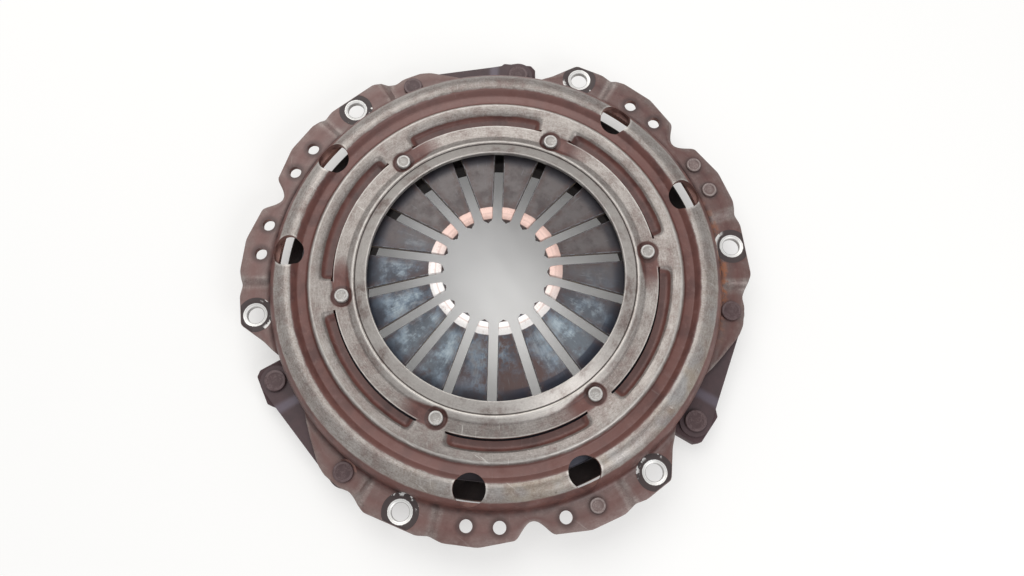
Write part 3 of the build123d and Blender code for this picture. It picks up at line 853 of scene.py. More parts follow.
@dataclass(frozen=True)
class SpringFinish:
    """Tempered spring steel: fingers with a painted sky reflection over the lower half, and polished,
    rubbed tips.
    """

    sizes: Sizes
    # Blue and pale: the painted sky reflection and highlights on the lower fingers; pale also for rubbed
    # edges.
    blue: Colour = srgb(112, 126, 140)
    pale: Colour = srgb(172, 184, 190)
    grey: Colour = srgb(108, 102, 101)
    ash: Colour = srgb(72, 64, 64)
    umber: Colour = srgb(92, 74, 72)
    brown: Colour = srgb(88, 68, 64)
    # Dark for mottling and for painted shade, and a blue for the painted shadow under the cover.
    dark: Colour = srgb(44, 46, 56)
    cover_shadow: Colour = srgb(38, 44, 60)
    wall: Colour = srgb(136, 122, 102)
    polished: Colour = srgb(243, 238, 234)
    copper_reflection: Colour = srgb(220, 186, 174)
    fretted: Colour = srgb(176, 138, 128)
    ridge: Colour = srgb(190, 160, 150)
    nose: Colour = srgb(70, 52, 48)

    def temper(self, paint: Paint, cloud: Val, spots: Val, radial: Val) -> bpy.types.NodeSocket:
        """Body of the fingers: grey above; below, a painted blue sky reflection with pale painted
        highlights and stains.
        """
        r, arc = paint.radius, paint.arc
        wide = paint.noise(26.0, 2.0, 0.5, 35.0)
        # Pale painted highlights in clouds over the lower fingers.
        light = (cloud * 0.7 + spots * 0.7 + radial * 0.3 + wide * 0.5).rise(1.06, 1.36)
        # Two arcs where the painted highlights reach further out and the painted shadow starts later.
        flush = arc(230.0, 14.0, 10.0).larger(arc(318.0, 18.0, 10.0))
        reach = r.band(34.0, 53.0, 4.0).larger(r.band(38.0, 56.5, 3.0) * flush)
        stained = (wide + (spots - 0.5) * 0.5).rise(0.5, 0.36)
        stained = stained + arc(276.0, 20.0, 14.0) * (spots.rise(0.38, 0.58) + 0.25)
        # Painted reflection of blue sky for the lower half, with stains.
        bluing_and_sky_reflection = paint.coat(
            self.blue,
            (cloud.rise(0.6, 0.42) * 0.8, self.dark),
            ((light + flush * 0.25) * reach, self.pale),
            (stained * 0.75, self.brown),
        )
        return paint.coat(
            self.grey,
            (cloud.rise(0.4, 0.66) * 0.8, self.ash),
            ((spots - 0.4) * (cloud * 0.9 + 0.2), self.umber),
            (arc(258.0, 92.0, 26.0) * (cloud * 0.5 + 0.65), bluing_and_sky_reflection),
            (radial.rise(0.6, 0.75) * 0.3, self.pale),
            (r.rise(37.0, 31.5) * spots.rise(0.35, 0.6) * 0.5, self.brown),
            # Painted shadow of the cover's ring over the fingers' outer ends, deepest on the lower right.
            ((r + flush * -2.5).rise(54.0, 58.5) * 0.7, self.dark),
            (arc(308.0, 30.0, 8.0) * r.rise(55.6, 56.3) * 0.7, self.cover_shadow),
        )

    def build(self) -> bpy.types.Material:
        """Makes the material."""
        s = self.sizes
        paint = Paint("spring_temper")
        r = paint.radius
        cloud = paint.noise(12.0, 4.0, 0.65, 31.0)
        spots = paint.noise(3.2, 4.0, 0.7, 32.0)
        fine = paint.noise(0.6, 3.0, 0.6, 33.0)
        along = paint.out("ShaderNodeCombineXYZ", i0=r / 12.0, i1=paint.angle * 0.9, i2=0.0)
        radial = paint.noise(1.0, 3.0, 0.65, 34.0, along)
        gap = paint.beside(s.first_bolt, TURN / s.fingers, 0.0)[0].math("ABSOLUTE")
        half = s.slot / 2
        slot = gap.rise(half + 0.14, half + 0.04) * r.rise(69.0, 68.0)
        rubbed = gap.band(half + 0.1, half + 0.5, 0.15)
        rubbed = rubbed * spots.rise(0.42, 0.58) * r.rise(69.0, 66.0)
        tip = (r + (spots - 0.5) * 0.7).band(25.3, 31.3, 0.22)
        tip_tone = paint.coat(
            self.polished,
            # Painted reflection: the polished tips copper-pink over the upper half, white below.
            (paint.arc(70.0, 92.0, 30.0), self.copper_reflection),
            (spots.rise(0.5, 0.75) * 0.5, self.fretted),
            (r.band(27.6, 28.4, 0.25) * 0.5, self.ridge),
        )
        base = paint.coat(
            self.temper(paint, cloud, spots, radial),
            (slot * 0.85, paint.mix(spots.rise(0.4, 0.6), self.wall, self.brown)),
            # Painted shade: a dark line along each slot's edges.
            (gap.band(half + 0.1, half + 0.35, 0.12) * 0.6, self.dark),
            (gap.rise(6.0, 2.6) * spots.rise(0.36, 0.6) * 0.6, self.brown),
            (rubbed * 0.35, self.pale),
            (tip, tip_tone),
            # Painted shade at each tip's rounded end.
            (r.rise(25.3, 24.7) * 0.8, self.nose),
            (spots.rise(0.62, 0.76) * (0.5 - tip * 0.35), self.dark),
        )
        relief = radial * 0.6 + fine * 0.4 + spots * 0.5
        rough = 0.46 - tip * 0.16 + (fine - 0.5) * 0.2
        return paint.finish(base, rough, 0.35 - tip * 0.15, paint.bump(relief, 0.35, 0.1))


@dataclass(frozen=True)
class CastingFinish:
    """Grey iron: painted back and lugs, turned rim and a lapped friction face."""

    sizes: Sizes
    painted: Colour = srgb(80, 60, 62)
    chipped: Colour = srgb(120, 104, 104)
    iron: Colour = srgb(56, 47, 45)
    iron_dark: Colour = srgb(42, 36, 36)
    face: Colour = srgb(136, 134, 134)
    face_dark: Colour = srgb(112, 110, 112)
    heat: Colour = srgb(96, 102, 122)
    rust: Colour = srgb(116, 78, 56)

    def build(self) -> bpy.types.Material:
        """Makes the material."""
        s = self.sizes
        paint = Paint("casting_iron")
        grain = paint.noise(1.3, 5.0, 0.7, 41.0)
        cloud = paint.noise(12.0, 4.0, 0.6, 42.0)
        lines = paint.streaks(18.0, 0.22, 43.0)
        edge = s.plate_r + s.rim_swell
        lug = paint.radius.rise(edge + 0.1, edge + 0.9)
        rim = paint.radius.rise(edge - 0.4, edge - 0.1) * (1.0 - lug)
        face = paint.z.rise(s.face_z + 0.5, s.face_z + 0.2) * (1.0 - lug)
        heat = cloud.rise(0.5, 0.75) * paint.radius.band(72.0, 98.0, 5.0)
        lapped = paint.coat(self.face_dark, (lines * 0.7, self.face), (heat * 0.6, self.heat))
        base = paint.coat(
            self.iron,
            (cloud.rise(0.3, 0.7), self.iron_dark),
            (rim * cloud.rise(0.4, 0.6), self.rust),
            (face, lapped),
            (lug, self.painted),
            (lug * grain.rise(0.6, 0.75) * 0.5, self.chipped),
        )
        rough = 0.66 - face * 0.3 + (grain - 0.5) * 0.2
        relief = grain * (1.0 - face * 0.9) + lines * face * 0.4
        return paint.finish(base, rough, face * 0.55 + 0.3, paint.bump(relief, 0.5, 0.25))


@dataclass(frozen=True)
class StrapFinish:
    """Strap leaves: dark oiled spring strip with a painted bluish highlight across the bend by the casting.
    """

    sizes: Sizes
    strip: Colour = srgb(80, 61, 63)
    strip_dark: Colour = srgb(70, 55, 57)
    band: Colour = srgb(108, 100, 112)
    edge: Colour = srgb(112, 96, 94)
    bend_angle: float = 6.3

    def build(self) -> bpy.types.Material:
        """Makes the material."""
        s = self.sizes
        paint = Paint("strap_strip")
        cloud = paint.noise(8.0, 4.0, 0.6, 51.0)
        fine = paint.noise(0.7, 4.0, 0.6, 52.0)
        turn = paint.folded(s.lug_angle(0) + self.bend_angle, s.sector) + (cloud - 0.5) * 0.8
        # Painted highlight: a bluish band across the bend.
        band = turn.band(-1.0, 1.1, 0.7)
        base = paint.coat(
            self.strip,
            (cloud.rise(0.35, 0.7), self.strip_dark),
            (band * 0.6, self.band),
            (fine.rise(0.6, 0.8) * 0.4, self.edge),
        )
        rough = 0.52 - band * 0.08 + (fine - 0.5) * 0.15
        return paint.finish(base, rough, 0.2, paint.bump(fine, 0.3, 0.1))


@dataclass(frozen=True)
class RivetFinish:
    """Rivet heads: a flat face, a painted highlight round the rim, and grime where the head meets the
    sheet.
    """

    name: str
    face: Colour
    rim: Colour
    first: float
    pitch: float
    radius: float
    head_r: float
    metal: float
    seed: float
    shadow: Colour = (0.6, 0.56, 0.55)
    grime_and_shade: Colour = srgb(58, 48, 46)

    def build(self) -> bpy.types.Material:
        """Makes the material."""
        paint = Paint(self.name)
        away = paint.away(self.first, self.pitch, self.radius)
        fine = paint.noise(0.6, 4.0, 0.6, self.seed)
        cloud = paint.noise(3.0, 3.0, 0.6, self.seed + 1)
        # Painted highlight round the rim, and in clouds over the middle.
        rim = away.band(self.head_r * 0.74, self.head_r * 0.97, 0.2) * cloud.rise(0.35, 0.6)
        rim = rim.larger(away.rise(self.head_r * 0.5, self.head_r * 0.2) * cloud.rise(0.5, 0.7) * 0.6)
        base = paint.coat(
            self.face,
            (cloud.rise(0.4, 0.75) * 0.5, paint.tint(self.face, 1.0, self.shadow)),
            (rim * 0.8, self.rim),
            (cloud.rise(0.55, 0.42) * fine.rise(0.45, 0.6) * 0.6, self.rim),
            (fine.rise(0.6, 0.75) * 0.45, self.grime_and_shade),
        )
        return paint.finish(base, 0.48 + (fine - 0.5) * 0.2, self.metal, paint.bump(fine, 0.4, 0.12))


@dataclass(frozen=True)
class WireFinish:
    """Drawn wire of the fulcrum ring."""

    steel: Colour = srgb(110, 104, 100)
    stained: Colour = srgb(84, 66, 58)

    def build(self) -> bpy.types.Material:
        """Makes the material."""
        paint = Paint("drawn_wire")
        lines = paint.streaks(9.0, 0.35, 71.0)
        base = paint.mix(paint.noise(7.0, 3.0, 0.6, 72.0).rise(0.4, 0.7), self.steel, self.stained)
        return paint.finish(base, lines * 0.2 + 0.35, 0.7, paint.bump(lines, 0.25, 0.06))


# --- cover
@dataclass
class Cover:
    """The pressed cover: dome with beads and hollows, wall, and a flange of pads at three levels."""

    sizes: Sizes
    bore_r: float = 60.9
    bore_z: float = 17.5
    crown_r: float = 98.5
    crown_z: float = 16.0
    shoulder_foot: float = 4.0
    wall_low: float = -2.0
    wall_steps: int = 12
    bore_ease: float = 0.35
    collar: tuple[Pair, ...] = (
        (66.35, 14.95), (66.75, 14.45), (67.1, 14.95), (67.8, 15.18), (68.7, 14.85),
    )
    land_r: float = 71.2
    lip_z: float = 13.62
    rib_in: Pair = (83.8, 14.5)
    rib_top: Pair = (88.2, 15.1)
    valley: tuple[Pair, ...] = ((90.2, 12.4), (94.4, 12.4), (96.4, 15.35))
    dome_rounds: tuple[float, ...] = (
        0, 0.3, 0.3, 0.1, 0.3, 0.8, 0.6, 2.0, 0, 0, 1.0, 1.3, 1.0, 1.0, 2.2, 0,
    )
    inner_rail: tuple[Pair, ...] = (
        (97.2, 12.6), (95.8, 9.4), (88.8, 9.4), (87.6, 11.9), (86.0, 11.7),
        (83.8, 11.45), (82.7, 11.3), (81.8, 11.15), (80.8, 11.0), (79.6, 10.85),
    )
    bead_floor: float = 11.15
    bead_start: float = 4.6
    bead_end: float = 5.6
    bead_ramp: float = 3.4
    bead_flat_r: float = 81.8
    bead_out_r: float = 86.0
    slit: float = 1.0
    recess_r: float = 5.0
    recess_half: float = 4.0
    recess_tail: float = 16.0
    fillet: float = 2.8
    edge_ease: float = 0.45
    bend_half: float = 0.85
    strap_spot_r: float = 6.0
    spacing: float = 0.8
    busy: Pair = (68.5, 85.5)
    meridian: float = 0.75
    hair: float = 0.03
    sharp: float = 42.0

    def dome_rail(self) -> np.ndarray:
        """Top of the dome from the bore to the crown, as (radius, z) before beads and hollows."""
        s = self.sizes
        slit_r = s.fulcrum_r - self.slit
        corners = [
            (self.bore_r, self.bore_z - self.bore_ease), (self.bore_r + self.bore_ease, self.bore_z),
            *self.collar, (self.land_r, s.back_z), (slit_r, s.back_z), (s.fulcrum_r, self.lip_z),
            self.rib_in, self.rib_top, *self.valley, (self.crown_r, self.crown_z),
        ]
        path = rounded_path(corners, self.dome_rounds, 3)
        points = [path[0]]
        for before, after in zip(path, path[1:]):
            busy = before[0] > self.busy[0] and after[0] < self.busy[1] and abs(before[0] - slit_r) >= 1e-6
            pieces = max(1, math.ceil((after[0] - before[0]) / self.spacing)) if busy else 1
            points += [before + (after - before) * k / pieces for k in range(1, pieces + 1)]
        return np.array(points)

    def shoulder_rail(self) -> np.ndarray:
        """Crown, shoulder and wall as one dense path, down past every pad."""
        turns = np.linspace(0, math.pi / 2, 60)
        run = self.sizes.wall_r - self.crown_r
        drop = self.crown_z - self.shoulder_foot
        radii, heights = self.crown_r + run * np.sin(turns), self.shoulder_foot + drop * np.cos(turns)
        return np.vstack([np.stack([radii, heights], -1), [(self.sizes.wall_r, self.wall_low)]])

    def pad_levels(self, turn: np.ndarray) -> np.ndarray:
        """Height of the flange's top at angles from a sector's first bolt, between -60 and 60."""
        s = self.sizes
        strap, bolt, balance = s.strap_z, s.sheet, s.balance_z
        steps = [(-41.0, bolt, strap), (-9.75, strap, bolt)]
        steps += [(7.9, bolt, balance), (52.1, balance, bolt)]
        level = np.full(turn.shape, bolt, float)
        for middle, before, after in steps:
            soft = self.bend_half if middle > -40 else 2 * self.bend_half
            level = level + (after - before) * smooth_step(turn, middle - soft, middle + soft)
        return level

    def edge_radius(self, turn: np.ndarray) -> np.ndarray:
        """Radius of the flange's edge at angles from a sector's first bolt, straight between corners."""
        bolt, balance, strap, notch, taper, foot = 124.4, 124.7, 121.5, 114.3, 114.6, 111.8
        none = self.sizes.wall_r + self.hair
        lead = [(-34.2, none), (-31, foot), (-27.5, taper), (-21.5, strap - 1.3), (-19, strap)]
        lead += [(-14.5, strap), (-12.3, strap - 1.3), (-7.2, bolt)]
        half = [(4.8, bolt), (7.5, bolt - 1.3), (10.5, balance), (18, balance)]
        half += [(26, balance - 3), (28, notch + 2), (29.3, notch)]
        mirrored = [(self.sizes.bolt_pitch - a, r) for a, r in reversed(half)]
        tail = [(61.8, bolt), (67, taper), (69.5, foot), (71.7, none), (85.8, none)]
        corners = lead + half + mirrored + tail
        angles = np.array([c[0] for c in corners])
        radii = np.array([c[1] for c in corners])
        place = np.where(turn < angles[0], turn + self.sizes.sector, turn)
        k = np.clip(np.searchsorted(angles, place, side="right") - 1, 0, len(corners) - 2)
        before, after = np.radians(place - angles[k]), np.radians(angles[k + 1] - place)
        chord = radii[k] * radii[k + 1] * np.sin(before + after)
        straight = chord / (radii[k] * np.sin(before) + radii[k + 1] * np.sin(after))
        return np.where(radii[k] + radii[k + 1] < 2 * none + 0.01, none, straight)

    def angles(self) -> np.ndarray:
        """Directions of the mesh's meridians, closer where the shape changes fast."""
        s = self.sizes
        places = list(np.arange(0, TURN, self.meridian))
        for middles, reach in ((s.bolt_angles(), 24), (s.zone_angles(), 12)):
            for middle in middles:
                places += [middle + k * self.meridian / 2 for k in range(-reach, reach + 1)]
        return np.unique(np.round(np.mod(places, TURN), 3))

    def smoothed_edge(self, turn: np.ndarray) -> np.ndarray:
        """Edge radius with its corners eased."""
        offsets = (-0.5, -0.25, 0.0, 0.25, 0.5)
        return sum(self.edge_radius(folded(turn + o, self.sizes.sector)) for o in offsets) / len(offsets)

    def relief(self, turn: np.ndarray, r: np.ndarray, base: np.ndarray, hollows: bool = True) -> np.ndarray:
        """Depth of beads and hollows over the dome.

        Args:
            turn: angle of each meridian from the nearest spring rivet, as a column.
            r: radius of each point of the rail.
            base: height of each point of the rail.
            hollows: adds the rivets' hollows, which only the top has.

        Returns:
            What is added to the height.
        """
        s = self.sizes
        pitch = s.bolt_pitch
        past = np.mod(turn, pitch)
        start = smooth_step(past, self.bead_start, self.bead_start + self.bead_ramp)
        stop = smooth_step(past, pitch - self.bead_end, pitch - self.bead_end - self.bead_ramp)
        flat = [(s.fulcrum_r - 0.5, self.bead_floor), (self.bead_flat_r, self.bead_floor)]
        bead = rounded_path([*flat, self.rib_in, self.rib_top], [0, 0.9, 1.4, 0], 5)
        floor = np.interp(r, bead[:, 0], bead[:, 1])
        inside = (r > s.fulcrum_r - self.slit / 2) & (r < self.bead_out_r)
        depth = start * stop * np.where(inside, floor - base, 0.0)
        if not hollows:
            return depth
        side, out = r * np.sin(np.radians(turn)), r * np.cos(np.radians(turn)) - s.rivet_r
        away = np.hypot(side, out)
        dish = smooth_step(away, self.recess_r + 0.35, self.recess_r - 0.35)
        tail = (1 - smooth_step(-side, self.recess_r, self.recess_tail)) * smooth_step(side, 0.5, -0.5)
        tail = tail * smooth_step(np.abs(out), self.recess_half + 0.4, self.recess_half - 0.4)
        return depth - s.recess_depth * np.maximum(dish, tail)

    def shell(self, parts: MeshParts) -> None:
        """Adds the uncut pressing to the parts."""
        s = self.sizes
        angles = self.angles()
        turn = folded(angles - s.first_bolt, s.sector)
        rivet = folded(angles - s.first_bolt, s.bolt_pitch)[:, None]
        level, edge = self.pad_levels(turn), self.smoothed_edge(turn)
        rail = self.dome_rail()
        r, z = rail[:, 0], rail[:, 1]
        count = len(angles)
        top_z = z + self.relief(rivet, r, z)
        columns = [np.stack([np.broadcast_to(r, top_z.shape), top_z], -1)]
        fillet = np.minimum(self.fillet, 0.9 * (edge - s.wall_r))
        columns += self.shoulder(level + fillet)
        foot = columns[-1][:, -1]
        for t in (0.25, 0.5, 0.75, 1.0):
            end = np.stack([s.wall_r + fillet, level], -1)
            bend = np.stack([np.full(count, s.wall_r), level], -1)
            columns.append(((1 - t) ** 2 * foot + 2 * t * (1 - t) * bend + t * t * end)[:, None])
        ease = np.minimum(self.edge_ease, 0.3 * (edge - s.wall_r))
        under = level - s.sheet
        inner = s.wall_r - s.sheet
        near = s.wall_r + fillet
        for radius, height in (
            ((near + edge - ease) / 2, level), (edge - ease, level),
            (edge - 0.3 * ease, level - 0.3 * ease), (edge, level - ease),
            (edge, under + 0.35), (edge - 0.1, under + 0.1), (edge - 0.35, under), (near, under),
            (inner + 1.6, under), (inner + 0.45, under + 0.12), (inner, under + 0.6), (inner, 2.5),
        ):
            place = np.broadcast_arrays(radius, height, level)[:2]
            columns.append(np.stack(place, -1)[:, None])
        columns += self.underside(rivet, count)
        rows = np.concatenate(columns, 1)
        turns = np.radians(angles)[:, None]
        grid = np.stack([np.cos(turns) * rows[..., 0], np.sin(turns) * rows[..., 0], rows[..., 1]], -1)
        parts.loft(grid)

    def shoulder(self, low: np.ndarray) -> list[np.ndarray]:
        """Points from the crown down to a height on each meridian."""
        rail = self.shoulder_rail()
        length = np.concatenate([[0], np.cumsum(np.hypot(*np.diff(rail, axis=0).T))])
        stop = np.interp(-low, -rail[:, 1], length)
        points = []
        for k in range(1, self.wall_steps + 1):
            along = stop * k / self.wall_steps
            place = [np.interp(along, length, rail[:, 0]), np.interp(along, length, rail[:, 1])]
            points.append(np.stack(place, -1)[:, None])
        return points

    def underside(self, rivet: np.ndarray, count: int) -> list[np.ndarray]:
        """Points of the inner face from the wall to the bore, pressed down with the beads."""
        s = self.sizes
        turns = np.linspace(math.pi / 2, 0, 9)
        run, drop = s.wall_r - self.crown_r - s.sheet, self.crown_z - self.shoulder_foot - s.sheet
        curve = [(self.crown_r + run * math.sin(t), self.shoulder_foot + drop * math.cos(t)) for t in turns]
        land = [(s.fulcrum_r, 10.7), (s.fulcrum_r - self.slit, 10.5), (70.4, 10.5), (66.0, 11.9)]
        bore = [(self.bore_r + 0.3, 14.2), (self.bore_r, 14.6)]
        rail = np.array([*curve, *self.inner_rail, *land, *bore])
        r, z = rail[:, 0], rail[:, 1]
        top = np.interp(r, *zip((s.fulcrum_r, self.lip_z), self.rib_in, self.rib_top))
        depth = self.relief(rivet, r, top, False)
        return [np.stack([np.broadcast_to(r, (count, len(r))), z + depth], -1)]

    def punches(self, seat: bpy.types.Material, cut: bpy.types.Material) -> list[bpy.types.Object]:
        """Everything that is cut out of the shell, by the finish it leaves."""
        s = self.sizes
        seats, holes, slits = MeshParts(), MeshParts(), MeshParts()
        low, high = -8.0, 24.0
        spot = s.sheet - self.hair
        outline = [(0, low), (s.bolt_hole_r, low), (s.bolt_hole_r, spot - s.bolt_seat_depth)]
        outline += [(s.bolt_seat_r, spot), (s.spotface_r, spot), (s.spotface_r, 12.0), (0, 12.0)]
        ring = np.arange(0, TURN, 5)
        for angle in s.bolt_angles():
            seats.lathe(np.array(outline), ring, polar(s.bolt_r, angle))
            holes.post(s.shank_r + FIT, low, high, polar(s.rivet_r, angle), 32)
        for zone in s.zone_angles():
            for offset in s.balance_angles:
                holes.post(s.balance_hole_r, low, high, polar(s.balance_r, zone + offset), 40)
            for side in (-1, 1):
                place = polar(s.window_place_r, zone + side * s.window_angle)
                holes.post(s.window_r, s.window_sill, high, place, 72)
        for strap in range(s.sectors):
            place = polar(s.strap_r, s.first_bolt + strap * s.sector - s.strap_angle)
            bore, face = s.strap_shank_r + FIT, s.strap_z + self.hair
            hole = [(0, low), (bore, low), (bore, face)]
            hole += [(self.strap_spot_r, face), (self.strap_spot_r, 3.4), (0, 3.4)]
            holes.lathe(np.array(hole), ring, place)
        inner, outer = s.fulcrum_r - self.slit, s.fulcrum_r
        corners = [(inner, 5.0), (outer, 5.0), (outer, high), (inner, high)]
        for angle in s.bolt_angles():
            arc = np.arange(angle + self.bead_start, angle + s.bolt_pitch - self.bead_end + 0.01, 0.5)
            rows = np.array([[polar(r, a, z) for r, z in corners] for a in arc])
            slits.loft(rows, wrap_rows=False, caps=True)
        tools = [(seats, seat, "seat_tool"), (holes, cut, "hole_tool"), (slits, cut, "slit_tool")]
        return [outward(parts.build(name, material)) for parts, material, name in tools]

    def rub(self, cover: bpy.types.Object) -> None:
        """Marks the flange's edge and its bends, where handling wears the primer, and a painted highlight
        along the wall's foot, on a point attribute.
        """
        s = self.sizes
        verts = np.empty(len(cover.data.vertices) * 3, np.float32)
        cover.data.vertices.foreach_get("co", verts)
        x, y, z = (verts[k::3] / MM for k in range(3))
        radius = np.hypot(x, y)
        turn = folded(np.degrees(np.arctan2(y, x)) - s.first_bolt, s.sector)
        step = 1.2
        bend = np.abs(self.pad_levels(turn + step) - self.pad_levels(turn - step))
        edge = smooth_step(self.smoothed_edge(turn) - radius, 1.6, 0.2)
        flange = smooth_step(radius, s.wall_r + 0.6, s.wall_r + 2.4) * (z > self.pad_levels(turn) - 1.4)
        # Painted highlight along the wall's foot.
        foot = smooth_step(radius, s.wall_r + 0.8, s.wall_r + 1.8)
        foot = foot * smooth_step(radius, s.wall_r + 3.6, s.wall_r + 2.2)
        share = np.clip(edge * 0.55 + np.clip(bend, 0, 1) * 0.5 + foot * 0.5, 0, 1) * flange
        rub = cover.data.attributes.new("rub", "FLOAT", "POINT")
        rub.data.foreach_set("value", share.astype(np.float32))

    def build(self) -> bpy.types.Object:
        """Makes the cover and puts it in place of its solid."""
        parts = MeshParts()
        self.shell(parts)
        cover = outward(parts.build("cover_pressing", CoverFinish(self.sizes).build()))
        for tool in self.punches(SeatFinish(self.sizes).build(), CutFinish().build()):
            combine(cover, tool, "DIFFERENCE")
        shade(cover, self.sharp)
        self.rub(cover)
        LOG.info("cover: %d faces", len(cover.data.polygons))
        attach(cover, Body.COVER.value)
        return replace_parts(cover, "cover")


# --- patterns
class RingPattern:
    """Geometry Nodes that set copies of one piece round the clutch axis."""

    def __init__(self, name: str) -> None:
        """Builds the node group with its named inputs."""
        self.group = bpy.data.node_groups.new(name, "GeometryNodeTree")
        face = self.group.interface
        face.new_socket("Geometry", in_out="OUTPUT", socket_type="NodeSocketGeometry")
        self.inputs: dict[str, str] = {}
        kinds = [("Piece", "Object"), ("Count", "Int"), ("Start", "Float"), ("Pitch", "Float")]
        kinds += [("Weld", "Float"), ("Finish", "Material")]
        for label, kind in kinds:
            socket = face.new_socket(label, in_out="INPUT", socket_type="NodeSocket" + kind)
            self.inputs[label] = socket.identifier
        self.wire()

    def wire(self) -> None:
        """Adds the nodes: points, a turn for each, copies, one welded mesh with its finish."""
        tree = Tree(self.group)
        given = tree.node("NodeGroupInput").outputs
        turn = Val(tree, tree.out("GeometryNodeInputIndex")) * given["Pitch"] + given["Start"]
        spin = tree.out("ShaderNodeCombineXYZ", i2=turn)
        points = tree.out("GeometryNodePoints", Count=given["Count"])
        piece = tree.node("GeometryNodeObjectInfo", Object=given["Piece"]).outputs["Geometry"]
        copies = tree.out("GeometryNodeInstanceOnPoints", Points=points, Instance=piece, Rotation=spin)
        plain = tree.out("GeometryNodeRealizeInstances", Geometry=copies)
        welded = tree.out("GeometryNodeMergeByDistance", Geometry=plain, Distance=given["Weld"])
        dressed = tree.out("GeometryNodeSetMaterial", Geometry=welded, Material=given["Finish"])
        tree.node("NodeGroupOutput", i0=dressed)

    def make(
        self, name: str, piece: bpy.types.Object, count: int, start: float, finish: bpy.types.Material
    ) -> bpy.types.Object:
        """Copies a piece round the axis.

        Args:
            name: name of the new object.
            piece: the piece, modelled at angle 0; it is removed.
            count: number of copies in the whole turn.
            start: direction of the first, in degrees.
            finish: material of the result.

        Returns:
            One plain mesh object.
        """
        obj = put(name, bpy.data.meshes.new(name))
        modifier = obj.modifiers.new("ring", "NODES")
        modifier.node_group = self.group
        values = {
            "Piece": piece,
            "Count": count,
            "Start": math.radians(start),
            "Pitch": math.tau / count,
            "Weld": WELD * MM,
            "Finish": finish,
        }
        for label, value in values.items():
            modifier[self.inputs[label]] = value
        settle(obj)
        bpy.data.objects.remove(piece)
        return obj


